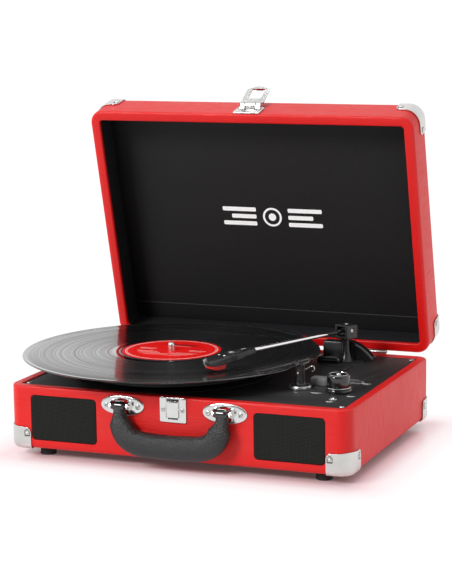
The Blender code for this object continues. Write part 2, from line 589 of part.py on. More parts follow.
block = finish(box(-4.6, 4.6, -3.4, 3.4, -3.0, 3.0), "tonearm_bearing_block", "dark", origin=PIV, extra=ARM_M)
cut(block, cutter(rod((-7.0, 0, 0), (7.0, 0, 0), 1.5, 16), "add_trunnion", extra=ARM_M), "UNION")
finish(
    skin([[(x, -3.7, z) for x, z in circle(0, 0, 2.0, 16)], [(x, -28.0, z) for x, z in circle(0, 0, 2.0, 16)], [(x, -30.3, z) for x, z in circle(0, 0, 1.8, 16)]]),
    "tonearm_collar", "dark", origin=PIV, extra=ARM_M,
)
tube_pts = [(0, -30.6, 0.0), (0, -60.0, 0.0), (0, -100.0, 0.0), (0, -134.8, 0.0)]
finish(sweep(tube_pts, 2.3, 2.3, (0, 0, 1), 16, 2.0), "tonearm_tube", "silver", origin=PIV, extra=ARM_M)

SHELL_M = ARM_M @ Matrix.Translation((0, -134.5, 0))
secs = []
for y, hw, top, bot in (
    (-0.6, 2.6, 2.4, -2.4), (-4.0, 3.6, 3.0, -3.0), (-12.0, 4.4, 3.2, -3.4), (-24.0, 7.4, 2.8, -4.2), (-34.0, 8.8, 2.2, -5.0),
    (-52.0, 8.8, 0.6, -6.0), (-60.0, 7.8, -1.2, -6.0), (-64.6, 5.6, -3.0, -6.0),
):
    c = min(1.2, (top - bot) * 0.3)
    secs.append([(hw, y, bot + c * 0.4), (hw, y, top - c), (hw - c, y, top), (-hw + c, y, top), (-hw, y, top - c), (-hw, y, bot + c * 0.4), (-hw + 0.5, y, bot), (hw - 0.5, y, bot)])
finish(skin(secs), "tonearm_headshell", "black", origin=PIV, extra=SHELL_M, angle=30)
cart = []
for y, hw, top, bot in ((-44.0, 5.6, -6.3, -8.6), (-46.5, 6.0, -6.3, -11.2), (-57.0, 6.0, -6.3, -11.2), (-61.5, 5.0, -6.3, -9.0)):
    cart.append([(hw, y, bot), (hw, y, top), (-hw, y, top), (-hw, y, bot)])
finish(skin(cart), "cartridge", "paper", origin=PIV, extra=SHELL_M)
finish(
    skin([[(1.0, -50.0, -11.5), (-1.0, -50.0, -11.5), (-1.0, -56.0, -11.5), (1.0, -56.0, -11.5)], [(0.4, -54.2, -12.5), (-0.4, -54.2, -12.5), (-0.4, -55.2, -12.5), (0.4, -55.2, -12.5)]]),
    "stylus", "silver", origin=PIV, extra=SHELL_M,
)
lift = [(-64.95, -5.4, -3.6), (-65.8, -5.0, -2.6), (-66.8, -2.6, -0.6), (-67.6, 0.6, 1.8)]
rings = []
for y, low, high in lift:
    rings.append([(-2.6, y, low), (2.6, y, low), (2.6, y, high), (-2.6, y, high)])
finish(skin(rings), "finger_lift", "steel", origin=PIV, extra=SHELL_M)

# ---------------------------------------------------------------- arm rest and its wire clip
RX, RY = 99.6, -50.5
post = finish(
    lathe([(10.2, DECK_Z + GAP), (10.2, DECK_Z + 3.2), (9.2, DECK_Z + 4.2), (5.6, DECK_Z + 5.0), (4.9, DECK_Z + 9.0), (4.7, 91.0), (4.9, 97.4)], RX, RY, 20),
    "arm_rest", "dark",
)
ra = math.radians(-1.5)
REST_M = Matrix.Translation((RX, RY, 0)) @ Matrix.Rotation(ra, 4, "Z")
slot = [(-2.7, 99.0), (-2.7, 94.6), (-1.9, 92.9), (0.0, 92.2), (1.9, 92.9), (2.7, 94.6), (2.7, 99.0)]
cut(post, cutter(skin([[(x, -8.0, z) for x, z in slot], [(x, 8.0, z) for x, z in slot]]), "cut_rest_slot", extra=REST_M))
cut(post, cutter(rod((0, -8.0, 87.0), (0, 8.0, 87.0), 0.9, 12), "cut_clip_hole", extra=REST_M))
clip_path = smooth_path([(0, -5.8, 87.0), (0, 0, 87.0), (0, 6.2, 87.0), (1.6, 7.4, 87.4), (5.0, 7.6, 89.2), (8.6, 7.6, 91.8), (11.6, 7.6, 90.6), (11.4, 7.6, 87.6), (9.2, 7.6, 86.6)], 3)
finish(sweep(clip_path, 0.6, 0.6, (0.3, 0, 1), 6, 2.0), "arm_rest_clip", "steel", origin=REST_M @ Vector((0, 0, 87.0)), extra=REST_M)

# ---------------------------------------------------------------- controls on the motor board
VX, VY = 139.5, -52.9
finish(
    lathe(
        [
            (3.0, DECK_Z + GAP), (12.4, DECK_Z + GAP), (12.8, DECK_Z + 0.8), (12.6, DECK_Z + 3.6), (11.9, DECK_Z + 4.2), (11.9, DECK_Z + 5.2),
            (11.2, DECK_Z + 5.5), (11.2, DECK_Z + 15.6), (10.3, DECK_Z + 16.8), (9.4, DECK_Z + 17.4), (3.0, DECK_Z + 17.6),
        ],
        VX, VY, 28,
    ),
    "volume_knob", "black", origin=(VX, VY, DECK_Z),
)
finish(lathe([(8.2, 56.0), (8.2, 64.0), (3.3, 64.6), (3.3, DECK_Z - 0.4), (3.0, DECK_Z)], VX, VY, 18), "volume_pot", "silver")
sel = finish(slab(112.4, -29.5, 8.0, 6.2, 1.0, DECK_Z + GAP, DECK_Z + 7.8, 0.5, 3), "speed_selector", "dark", origin=(112.4, -29.5, DECK_Z))
cut(sel, cutter(box(110.1, 114.7, -32.5, -26.5, 66.4, DECK_Z + 1.0), "add_selector_stem"), "UNION")
for k in range(3):
    y = -33.5 + 4.0 * k
    cut(sel, cutter(box(100.0, 125.0, y - 0.7, y + 0.7, DECK_Z + 6.6, DECK_Z + 9.0), f"cut_selector_groove_{k}"))
au = finish(slab(140.2, -8.2, 5.0, 2.4, 0.7, DECK_Z + GAP, DECK_Z + 3.0, 0.4, 3), "auto_stop_switch", "steel", origin=(140.2, -8.2, DECK_Z))
cut(au, cutter(box(138.8, 141.6, -9.0, -7.4, 66.6, DECK_Z + 1.0), "add_auto_stem"), "UNION")
finish(lathe([(1.9, 60.0), (1.9, DECK_Z + 0.5), (2.6, DECK_Z + 1.1), (4.1, DECK_Z + 0.9), (4.3, DECK_Z + GAP), (3.1, DECK_Z + GAP), (3.1, 60.0)], 144.5, -85.5, 18, closed=True), "headphone_jack", "steel")

# ---------------------------------------------------------------- electronics and rear sockets
finish(box(96.0, 166.0, 54.0, 112.0, 22.0, 23.6), "circuit_board", "green")
for x, nm in ((-78.0, "rca_jack_left"), (-62.0, "rca_jack_right")):
    bm = lathe([(2.0, 0.4), (4.2, 0.4), (4.2, 12.0), (6.4, 12.0), (6.4, 13.6), (4.1, 13.6), (4.1, 20.0), (2.0, 20.0)], x, 36.0, 16, closed=True)
    finish(bm, nm, "steel", extra=Matrix.Translation((0, D2 - 11.7, 0)) @ Matrix(((1, 0, 0, 0), (0, 0, 1, 0), (0, 1, 0, 0), (0, 0, 0, 1))))
bm = lathe([(1.1, -4.0), (4.2, -4.0), (4.2, 12.0), (7.0, 12.0), (7.0, 13.4), (3.0, 13.4), (3.0, 1.0), (1.1, 1.0)], -30.0, 36.0, 18)
finish(bm, "dc_inlet", "black", extra=Matrix.Translation((0, D2 - 11.7, 0)) @ Matrix(((1, 0, 0, 0), (0, 0, 1, 0), (0, 1, 0, 0), (0, 0, 0, 1))))
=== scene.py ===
"""Looks of the suitcase record player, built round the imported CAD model."""
import math
import random

import bmesh
import bpy
from mathutils import Matrix, Vector


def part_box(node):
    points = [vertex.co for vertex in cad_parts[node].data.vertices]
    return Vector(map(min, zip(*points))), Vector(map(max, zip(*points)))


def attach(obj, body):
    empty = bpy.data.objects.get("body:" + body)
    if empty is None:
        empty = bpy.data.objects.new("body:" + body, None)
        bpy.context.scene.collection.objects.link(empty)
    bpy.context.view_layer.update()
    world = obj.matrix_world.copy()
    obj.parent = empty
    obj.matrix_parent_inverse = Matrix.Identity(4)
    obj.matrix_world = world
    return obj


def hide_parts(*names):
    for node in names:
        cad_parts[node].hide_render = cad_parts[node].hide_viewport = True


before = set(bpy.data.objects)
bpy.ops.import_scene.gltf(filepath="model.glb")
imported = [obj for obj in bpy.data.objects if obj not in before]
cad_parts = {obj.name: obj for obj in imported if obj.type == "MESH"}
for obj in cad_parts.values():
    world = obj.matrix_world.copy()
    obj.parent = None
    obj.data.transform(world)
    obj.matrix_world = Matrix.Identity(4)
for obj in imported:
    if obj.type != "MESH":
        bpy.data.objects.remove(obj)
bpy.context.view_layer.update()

rng = random.Random(7)
scene = bpy.context.scene

# ---------------------------------------------------------------- layout, millimetres, as in the CAD source
C = Vector((12.125, -3.05, 0.0))
CASE_W, CASE_D = 354.0, 259.0
W2, D2 = CASE_W / 2, CASE_D / 2
B0, B1 = 9.0, 71.6
WALL, CORNER_R = 10.0, 14.0
LID_H, LID_WALL, LID_LIP, LID_OPEN = 42.0, 5.5, 10.2, 75.5
HINGE_Y, HINGE_Z = 130.9, 72.9
L0, L1 = B1 + 0.6, B1 + LID_H
DECK_Z = 70.6
REC_X, REC_Y, REC_R, REC_TOP, REC_T, LABEL_R = -52.0, -13.5, 150.5, 91.6, 1.8, 50.0
PLATTER_R = 98.0
PIV = Vector((103.0, 79.0, 104.5))
ARM_DEG = 23.2
MMM = Matrix.Scale(0.001, 4)
WORLD = Matrix.Translation(C * 0.001)
ROT_LID = (
    Matrix.Translation((0, HINGE_Y, HINGE_Z))
    @ Matrix.Rotation(math.radians(-LID_OPEN), 4, "X")
    @ Matrix.Translation((0, -HINGE_Y, -HINGE_Z))
)


def metres(m):
    """The same rigid move with its shift in metres."""
    out = m.copy()
    out.translation = m.translation * 0.001
    return out


LID = WORLD @ metres(ROT_LID)
FRONT = Matrix.Rotation(math.radians(90), 4, "X")
BACK = Matrix(((1, 0, 0, 0), (0, 0, 1, 0), (0, 1, 0, 0), (0, 0, 0, 1)))


# ---------------------------------------------------------------- shader helpers
class Mat:
    """A procedural Principled material. Uniform values are set on the shader's own sockets."""

    def __init__(self, name, base=(0.5, 0.5, 0.5), rough=0.5, metal=0.0, **sockets):
        self.m = bpy.data.materials.new(name)
        self.m.use_nodes = True
        self.nt = self.m.node_tree
        self.b = self.nt.nodes["Principled BSDF"]
        self.b.inputs["Base Color"].default_value = (*base, 1)
        self.b.inputs["Roughness"].default_value = rough
        self.b.inputs["Metallic"].default_value = metal
        for k, v in sockets.items():
            s = self.b.inputs[k.replace("_", " ")]
            s.default_value = v
        self.m.diffuse_color = (*base, 1)
        self._tc = None

    def new(self, kind, **props):
        n = self.nt.nodes.new(kind)
        for k, v in props.items():
            setattr(n, k, v)
        return n

    def put(self, socket, value):
        if isinstance(value, bpy.types.NodeSocket):
            self.nt.links.new(value, socket)
        elif value is not None:
            socket.default_value = value

    def tc(self, which="Object"):
        if self._tc is None:
            self._tc = self.new("ShaderNodeTexCoord")
        return self._tc.outputs[which]

    def mapped(self, scale=(1, 1, 1), rot=(0, 0, 0), loc=(0, 0, 0), which="Object"):
        n = self.new("ShaderNodeMapping")
        self.put(n.inputs["Vector"], self.tc(which))
        n.inputs["Scale"].default_value = scale
        n.inputs["Rotation"].default_value = [math.radians(a) for a in rot]
        n.inputs["Location"].default_value = loc
        return n.outputs[0]

    def noise(self, scale, detail=4.0, rough=0.5, vec=None, distort=0.0):
        n = self.new("ShaderNodeTexNoise")
        self.put(n.inputs["Vector"], vec if vec is not None else self.tc())
        n.inputs["Scale"].default_value = scale
        n.inputs["Detail"].default_value = detail
        n.inputs["Roughness"].default_value = rough
        n.inputs["Distortion"].default_value = distort
        return n.outputs["Fac"]

    def voronoi(self, scale, vec=None, feature="F1", out="Distance", jitter=1.0):
        n = self.new("ShaderNodeTexVoronoi", feature=feature)
        self.put(n.inputs["Vector"], vec if vec is not None else self.tc())
        n.inputs["Scale"].default_value = scale
        n.inputs["Randomness"].default_value = jitter
        return n.outputs[out]

    def math(self, op, a, b=None, c=None, clamp=False):
        n = self.new("ShaderNodeMath", operation=op, use_clamp=clamp)
        for s, v in zip(n.inputs, (a, b, c)):
            self.put(s, v)
        return n.outputs[0]

    def sep(self, vec):
        n = self.new("ShaderNodeSeparateXYZ")
        self.put(n.inputs[0], vec)
        return n.outputs

    def ramp(self, fac, stops, interp="LINEAR"):
        n = self.new("ShaderNodeValToRGB")
        n.color_ramp.interpolation = interp
        e = n.color_ramp.elements
        while len(e) < len(stops):
            e.new(0.5)
        for el, (p, c) in zip(e, stops):
            el.position = p
            el.color = (*c, 1) if isinstance(c, (tuple, list)) else (c, c, c, 1)
        self.put(n.inputs[0], fac)
        return n.outputs[0]

    def mix(self, fac, a, b):
        n = self.new("ShaderNodeMix", data_type="RGBA")
        self.put(n.inputs[0], fac)
        for s, v in ((n.inputs[6], a), (n.inputs[7], b)):
            if isinstance(v, (tuple, list)):
                v = (*v, 1) if len(v) == 3 else v
            self.put(s, v)
        return n.outputs[2]

    def range(self, v, a, b, lo, hi):
        n = self.new("ShaderNodeMapRange")
        for s, x in zip(n.inputs, (v, a, b, lo, hi)):
            self.put(s, x)
        return n.outputs[0]

    def bump(self, height, strength, distance, normal=None):
        n = self.new("ShaderNodeBump")
        n.inputs["Strength"].default_value = strength
        n.inputs["Distance"].default_value = distance
        self.put(n.inputs["Height"], height)
        if normal is not None:
            self.put(n.inputs["Normal"], normal)
        return n.outputs[0]

    def edges(self):
        """0 in hollows, 0.5 on flats, 1 on sharp edges."""
        return self.new("ShaderNodeNewGeometry").outputs["Pointiness"]

    def base(self, v):
        self.put(self.b.inputs["Base Color"], v)
        return self

    def rough(self, v):
        self.put(self.b.inputs["Roughness"], v)
        return self

    def normal(self, v):
        self.put(self.b.inputs["Normal"], v)
        return self


def leatherette(name, light=(0.655, 0.0022, 0.0018), dark=(0.53, 0.0014, 0.0011)):
    """Red vinyl covering with a fine silk grain: across on the front and back faces, upright on the side faces."""
    k = Mat(name, light, 0.42, Specular_IOR_Level=0.38)
    k.b.inputs["Coat Weight"].default_value = 0.0
    n = k.sep(k.tc("Normal"))
    side = k.math("MULTIPLY", n[0], n[0])
    up = k.math("MULTIPLY", n[2], n[2])
    across = k.noise(1.0, 3.0, 0.6, k.mapped((45, 620, 780)))
    upright = k.noise(1.0, 3.0, 0.6, k.mapped((560, 700, 38)))
    grain = k.mix(k.range(side, 0.25, 0.75, 0.0, 1.0), across, upright)
    pebble = k.voronoi(1500.0, feature="SMOOTH_F1")
    fine = k.noise(2600.0, 2.0, 0.5)
    blotch = k.noise(9.0, 3.0, 0.55)
    g = k.ramp(grain, [(0.30, 0.0), (0.72, 1.0)])
    colour = k.mix(k.range(blotch, 0.3, 0.75, 0.0, 0.55), light, dark)
    colour = k.mix(k.math("MULTIPLY", g, 0.42), colour, (light[0] * 1.08, 0.008, 0.007))
    worn = k.range(k.edges(), 0.52, 0.60, 0.0, 0.35)
    colour = k.mix(worn, colour, (0.70, 0.03, 0.025))
    k.base(colour)
    r = k.range(g, 0.0, 1.0, 0.32, 0.54)
    k.rough(k.math("ADD", r, k.range(blotch, 0.2, 0.8, -0.03, 0.05)))
    h = k.math("ADD", k.math("MULTIPLY", grain, 1.0), k.math("MULTIPLY", pebble, 0.35))
    h = k.math("ADD", h, k.math("MULTIPLY", fine, 0.25))
    k.normal(k.bump(h, 0.60, 0.00060, k.bump(k.noise(28.0, 2.0, 0.5), 0.10, 0.0012)))
    return k.m


def plastic(name, base, rough, pebble=900.0, depth=0.00008, strength=0.35, vary=0.25, spec=0.5, coat=0.0):
    """Moulded plastic with a fine spark texture, faint mottling and lighter worn edges."""
    k = Mat(name, base, rough, Specular_IOR_Level=spec, Coat_Weight=coat, Coat_Roughness=0.08)
    mott = k.noise(34.0, 4.0, 0.6)
    hi = tuple(min(1, c * (1 + vary) + 0.004) for c in base)
    lo = tuple(c * (1 - vary) for c in base)
    colour = k.mix(mott, lo, hi)
    colour = k.mix(k.range(k.edges(), 0.53, 0.62, 0.0, 0.5), colour, tuple(min(1, c * 1.8 + 0.02) for c in base))
    k.base(colour)
    spark = k.voronoi(pebble, feature="SMOOTH_F1")
    k.rough(k.math("ADD", k.range(spark, 0.0, 0.8, rough - 0.05, rough + 0.06), k.range(mott, 0.3, 0.7, -0.03, 0.03)))
    k.normal(k.bump(k.math("ADD", spark, k.math("MULTIPLY", k.noise(pebble * 2.3, 2.0), 0.4)), strength, depth))
    return k.m


def metal(name, base=(0.76, 0.75, 0.73), rough=0.22, brush=(60, 900, 900), strength=0.12, smudge=0.10):
    """Plated steel: faint brushing, handling smudges, and a base colour darkened to under half in the hollows."""
    k = Mat(name, base, rough, 1.0)
    sm = k.noise(45.0, 4.0, 0.6)
    br = k.noise(1.0, 3.0, 0.6, k.mapped(brush))
    colour = k.mix(k.range(sm, 0.35, 0.75, 0.0, 0.5), base, tuple(c * 0.84 for c in base))
    # darker in the hollows, where the pointiness falls below flat
    colour = k.mix(k.range(k.edges(), 0.46, 0.40, 0.0, 0.6), colour, tuple(c * 0.45 for c in base))
    k.base(colour)
    k.rough(k.math("ADD", k.range(sm, 0.3, 0.75, rough - smudge * 0.4, rough + smudge), k.range(br, 0.3, 0.7, -0.02, 0.05)))
    k.normal(k.bump(br, strength, 0.00005))
    return k.m


def cloth_mat(name):
    """Black loudspeaker cloth: a close twill of rounded threads."""
    k = Mat(name, (0.012, 0.013, 0.012), 0.85, Sheen_Weight=0.0, Sheen_Roughness=0.4, Specular_IOR_Level=0.12)
    v = k.mapped((1, 1, 1), (0, 0, 0))
    s = k.sep(v)
    a = k.math("ADD", s[0], s[2])
    b = k.math("SUBTRACT", s[0], s[2])
    wa = k.math("SINE", k.math("MULTIPLY", a, 2 * math.pi / 0.0026))
    wb = k.math("SINE", k.math("MULTIPLY", b, 2 * math.pi / 0.0026))
    t = k.math("MULTIPLY", k.math("ADD", k.math("MULTIPLY", wa, wb), 1.0), 0.5)
    slub = k.noise(420.0, 3.0, 0.6)
    k.base(k.mix(k.math("MULTIPLY", t, k.range(slub, 0.3, 0.7, 0.82, 1.0)), (0.0008, 0.0009, 0.0008), (0.030, 0.032, 0.028)))
    k.rough(k.range(t, 0.0, 1.0, 0.95, 0.7))
    k.normal(k.bump(k.math("ADD", t, k.math("MULTIPLY", slub, 0.1)), 0.8, 0.0003))
    return k.m


def vinyl_mat(name, grooved=True):
    """Record surface: fine grooves with quieter gaps between the tracks, under a glossy skin."""
    k = Mat(name, (0.010, 0.010, 0.011), 0.30, Anisotropic=0.80, Anisotropic_Rotation=0.25, Coat_Weight=0.70, Coat_Roughness=0.05, Coat_IOR=1.5)
    t = k.new("ShaderNodeTangent", direction_type="RADIAL", axis="Z")
    k.put(k.b.inputs["Tangent"], t.outputs[0])
    s = k.sep(k.tc())
    r = k.math("SQRT", k.math("ADD", k.math("POWER", s[0], 2.0), k.math("POWER", s[1], 2.0)))
    c = k.new("ShaderNodeCombineXYZ")
    k.put(c.inputs[0], r)
    fine = k.noise(2600.0, 2.0, 0.7, c.outputs[0])
    track = k.noise(170.0, 1.0, 0.4, c.outputs[0])
    gap = k.ramp(track, [(0.0, 0.0), (0.60, 0.0), (0.64, 1.0), (0.68, 0.0), (1.0, 0.0)])
    wide = k.noise(55.0, 2.0, 0.5, c.outputs[0])
    land_smooth_and_sheen = k.range(r, LABEL_R / 1000 + 0.010, LABEL_R / 1000 + 0.0105, 1.0, 0.0)
    colour = k.mix(wide, (0.003, 0.003, 0.003), (0.009, 0.009, 0.010))
    colour = k.mix(gap, colour, (0.004, 0.004, 0.004))
    # the smooth land round the label gets a paler blue-grey colour, a painted reflection on the glossy black; its
    # weaker bump below is the land's real smoothness
    colour = k.mix(land_smooth_and_sheen, colour, (0.014, 0.017, 0.019))
    k.base(colour)
    k.put(k.b.inputs["Coat Weight"], k.math("ADD", k.range(k.noise(300.0, 3.0, 0.65, c.outputs[0]), 0.38, 0.62, 0.10, 1.0), k.math("MULTIPLY", gap, 0.3), clamp=True))
    k.rough(k.math("ADD", k.range(wide, 0.25, 0.75, 0.24, 0.36), k.math("MULTIPLY", gap, -0.10)))
    groove = k.math("SINE", k.math("MULTIPLY", r, 2 * math.pi / 0.0009))
    h = k.math("ADD", k.math("MULTIPLY", fine, 0.8), k.math("MULTIPLY", groove, 0.25))
    k.normal(k.bump(k.math("MULTIPLY", h, k.range(land_smooth_and_sheen, 0.0, 1.0, 1.0, 0.08)), 0.22, 0.00006))
    return k.m


def felt_mat(name, base=(0.012, 0.012, 0.013)):
    k = Mat(name, base, 0.95, Sheen_Weight=0.5, Sheen_Roughness=0.5)
    f = k.noise(1500.0, 5.0, 0.8)
    k.base(k.mix(f, tuple(c * 0.4 for c in base), tuple(c * 2.4 for c in base)))
    k.rough(k.range(f, 0.2, 0.8, 0.85, 1.0))
    k.normal(k.bump(f, 0.8, 0.0004))
    return k.m


def liner_mat(name, base=(0.022, 0.021, 0.022)):
    """Black paper-backed lining with a faint linen emboss."""
    k = Mat(name, base, 0.62, Specular_IOR_Level=0.30)
    a = k.noise(1.0, 2.0, 0.6, k.mapped((160, 1600, 1600)))
    b = k.noise(1.0, 2.0, 0.6, k.mapped((1600, 160, 160)))
    w = k.math("ADD", a, b)
    blot = k.noise(6.0, 3.0, 0.5)
    k.base(k.mix(k.math("MULTIPLY", k.math("SUBTRACT", w, 0.5), k.range(blot, 0.3, 0.7, 0.8, 1.1), clamp=True), tuple(c * 0.55 for c in base), tuple(c * 1.7 for c in base)))
    k.rough(k.range(blot, 0.3, 0.7, 0.56, 0.68))
    k.normal(k.bump(w, 0.30, 0.00015, k.bump(k.noise(14.0, 2.0, 0.5), 0.08, 0.001)))
    return k.m


def rubber_mat(name, base=(0.018, 0.018, 0.019), rough=0.75):
    k = Mat(name, base, rough, Specular_IOR_Level=0.35)
    n = k.noise(120.0, 4.0, 0.65)
    k.base(k.mix(n, tuple(c * 0.6 for c in base), tuple(c * 1.7 for c in base)))
    k.rough(k.range(n, 0.3, 0.7, rough - 0.08, rough + 0.10))
    k.normal(k.bump(k.noise(1400.0, 3.0, 0.6), 0.4, 0.00012))
    return k.m


def paint(name, base, rough=0.45):
    """Screen-printed ink, a little uneven."""
    k = Mat(name, base, rough)
    n = k.noise(900.0, 3.0, 0.6)
    k.base(k.mix(k.range(n, 0.3, 0.7, 0.0, 0.35), base, tuple(c * 0.8 for c in base)))
    k.rough(k.range(n, 0.3, 0.7, rough - 0.05, rough + 0.1))
    k.normal(k.bump(n, 0.15, 0.00003))
    return k.m


def board_mat(name):
    """Pressed fibreboard."""
    k = Mat(name, (0.16, 0.09, 0.045), 0.8)
    f = k.noise(1.0, 6.0, 0.7, k.mapped((700, 160, 700)))
    s = k.voronoi(260.0, out="Distance")
    k.base(k.mix(f, (0.10, 0.055, 0.028), (0.24, 0.145, 0.075)))
    k.rough(k.range(f, 0.3, 0.7, 0.7, 0.92))
    k.normal(k.bump(k.math("ADD", f, k.math("MULTIPLY", s, 0.5)), 0.4, 0.0003))
    return k.m


def label_mat(name):
    """Red record label: an uncoated stock with a pressed ring, a pale outer line and plain printed bars."""
    red, dark, pale = (0.78, 0.006, 0.005), (0.035, 0.012, 0.010), (0.80, 0.70, 0.66)
    k = Mat(name, red, 0.65, Specular_IOR_Level=0.12)
    s = k.sep(k.tc())
    r = k.math("SQRT", k.math("ADD", k.math("POWER", s[0], 2.0), k.math("POWER", s[1], 2.0)))
    n = k.noise(600.0, 4.0, 0.6)
    colour = k.mix(k.range(n, 0.3, 0.7, 0.0, 0.4), red, (0.68, 0.004, 0.004))

    def band(v, lo, hi):
        return k.math("MULTIPLY", k.math("GREATER_THAN", v, lo), k.math("LESS_THAN", v, hi))

    colour = k.mix(band(r, 0.0462, 0.0470), colour, pale)
    colour = k.mix(band(r, 0.0448, 0.0452), colour, pale)
    ax = k.math("ABSOLUTE", s[0])
    for y0, y1, x0, x1, c in (
        (0.0235, 0.0275, 0.000, 0.0170, dark), (0.0190, 0.0196, 0.000, 0.0130, pale), (-0.0120, -0.0112, 0.010, 0.0330, pale), (-0.0160, -0.0152, 0.006, 0.0300, pale),
        (-0.0200, -0.0192, 0.000, 0.0260, pale), (-0.0250, -0.0243, 0.000, 0.0200, pale), (0.0020, 0.0032, 0.0180, 0.0360, pale), (-0.0020, -0.0012, 0.0200, 0.0340, pale),
    ):
        m = k.math("MULTIPLY", band(s[1], y0, y1), band(ax, x0, x1))
        colour = k.mix(m, colour, c)
    k.base(colour)
    k.rough(k.range(n, 0.3, 0.7, 0.42, 0.56))
    k.normal(k.bump(k.noise(1800.0, 3.0, 0.6), 0.25, 0.00008))
    return k.m


# ---------------------------------------------------------------- mesh helpers, millimetres
def rrect(cx, cy, hx, hy, r, seg=8):
    pts = []
    r = max(r, 0.01)
    for qx, qy, a0 in ((1, 1, 0), (-1, 1, 90), (-1, -1, 180), (1, -1, 270)):
        for k in range(seg + 1):
            a = math.radians(a0 + 90 * k / seg)
            pts.append((cx + qx * (hx - r) + r * math.cos(a), cy + qy * (hy - r) + r * math.sin(a)))
    return pts


def circle(cx, cy, r, n=48):
    return [(cx + r * math.cos(2 * math.pi * k / n), cy + r * math.sin(2 * math.pi * k / n)) for k in range(n)]


def at_z(pts, z):
    return [(x, y, z) for x, y in pts]


def skin(levels, closed=False, cap0=True, cap1=True):
    bm = bmesh.new()
    rings = [[bm.verts.new(p) for p in ring] for ring in levels]
    n = len(rings[0])
    pairs = list(zip(rings, rings[1:]))
    if closed:
        pairs.append((rings[-1], rings[0]))
    for a, b in pairs:
        for i in range(n):
            j = (i + 1) % n
            bm.faces.new((a[i], a[j], b[j], b[i]))
    if not closed:
        if cap0:
            bm.faces.new(list(reversed(rings[0])))
        if cap1:
            bm.faces.new(rings[-1])
    return bm


def prism(pts, z0, z1, c=0.0):
    if not c:
        return skin([at_z(pts, z0), at_z(pts, z1)])
    cx = sum(p[0] for p in pts) / len(pts)
    cy = sum(p[1] for p in pts) / len(pts)
    rx = max(abs(p[0] - cx) for p in pts)
    ry = max(abs(p[1] - cy) for p in pts)
    small = [(cx + (x - cx) * (1 - c / rx), cy + (y - cy) * (1 - c / ry)) for x, y in pts]
    mid = [(cx + (x - cx) * (1 - 0.3 * c / rx), cy + (y - cy) * (1 - 0.3 * c / ry)) for x, y in pts]
    return skin([at_z(small, z0), at_z(mid, z0 + c * 0.3), at_z(pts, z0 + c), at_z(pts, z1 - c), at_z(mid, z1 - c * 0.3), at_z(small, z1)])


def slab(cx, cy, hx, hy, r, z0, z1, c=0.0, seg=8):
    """A rounded block; both edges softened by c."""
    if not c:
        return skin([at_z(rrect(cx, cy, hx, hy, r, seg), z0), at_z(rrect(cx, cy, hx, hy, r, seg), z1)])

    def ring(i, z):
        return at_z(rrect(cx, cy, hx - i, hy - i, max(r - i, 0.05), seg), z)

    return skin([ring(c, z0), ring(0.3 * c, z0 + 0.3 * c), ring(0, z0 + c), ring(0, z1 - c), ring(0.3 * c, z1 - 0.3 * c), ring(c, z1)])


def lathe(profile, cx=0.0, cy=0.0, n=64, closed=False):
    return skin([at_z(circle(cx, cy, r, n), z) for r, z in profile], closed)


def soften(profile, c=0.3):
    """Cuts each inner corner of a (radius, z) profile with a small two-step round."""
    out = [profile[0]]
    for a, b, d in zip(profile, profile[1:], profile[2:]):
        a, b, d = Vector(a), Vector(b), Vector(d)
        u, v = a - b, d - b
        k = min(c, u.length * 0.4, v.length * 0.4)
        if k < 1e-4:
            out.append(tuple(b))
            continue
        p, q = b + u.normalized() * k, b + v.normalized() * k
        m = (p + q) * 0.25 + b * 0.5
        out += [tuple(p), tuple(m), tuple(q)]
    out.append(profile[-1])
    return out


def box(x0, x1, y0, y1, z0, z1):
    bm = bmesh.new()
    bmesh.ops.create_cube(bm, size=1.0)
    bmesh.ops.transform(
        bm,
        matrix=Matrix.Translation(((x0 + x1) / 2, (y0 + y1) / 2, (z0 + z1) / 2)) @ Matrix.Diagonal((x1 - x0, y1 - y0, z1 - z0, 1)),
        verts=bm.verts,
    )
    return bm


def rbox(x0, x1, y0, y1, z0, z1, r=0.5, seg=2):
    bm = box(x0, x1, y0, y1, z0, z1)
    bmesh.ops.bevel(bm, geom=bm.edges[:], offset=r, segments=seg, profile=0.6, affect="EDGES")
    return bm


def rod(p0, p1, r, n=24, c=0.0):
    p0, p1 = Vector(p0), Vector(p1)
    d = (p1 - p0).normalized()
    u = d.orthogonal().normalized()
    v = d.cross(u)
    steps = [(p0, r), (p1, r)] if not c else [(p0, r - c), (p0 + d * c, r), (p1 - d * c, r), (p1, r - c)]
    return skin([[p + u * q * math.cos(2 * math.pi * k / n) + v * q * math.sin(2 * math.pi * k / n) for k in range(n)] for p, q in steps])


def sweep(points, half_w, half_t, width_dir, n=16, power=2.0, notch=None):
    pts = [Vector(p) for p in points]
    t_dir = Vector(width_dir).normalized()
    rings = []
    for i, p in enumerate(pts):
        a, b = pts[max(i - 1, 0)], pts[min(i + 1, len(pts) - 1)]
        tang = (b - a).normalized()
        side = tang.cross(t_dir).normalized()
        up = side.cross(tang).normalized()
        w = half_w[i] if isinstance(half_w, (list, tuple)) else half_w
        t = half_t[i] if isinstance(half_t, (list, tuple)) else half_t
        ring = []
        for k in range(n):
            ang = 2 * math.pi * (k + 0.5) / n
            c, s = math.cos(ang), math.sin(ang)
            e = 2.0 / power
            x, y = w * math.copysign(abs(c) ** e, c), t * math.copysign(abs(s) ** e, s)
            if notch:
                x, y = notch(x, y, w, t, i / (len(pts) - 1))
            ring.append(p + side * x + up * y)
        rings.append(ring)
    return skin(rings)


def smooth_path(points, per=6):
    pts = [Vector(p) for p in points]
    ext = [pts[0] * 2 - pts[1]] + pts + [pts[-1] * 2 - pts[-2]]
    out = []
    for i in range(1, len(ext) - 2):
        p0, p1, p2, p3 = ext[i - 1], ext[i], ext[i + 1], ext[i + 2]
        for k in range(per):
            t = k / per
            out.append(0.5 * ((2 * p1) + (p2 - p0) * t + (2 * p0 - 5 * p1 + 4 * p2 - p3) * t * t + (3 * p1 - p0 - 3 * p2 + p3) * t ** 3))
    out.append(pts[-1])
    return out


def moved(bm, m):
    bmesh.ops.transform(bm, matrix=m, verts=bm.verts)
    return bm


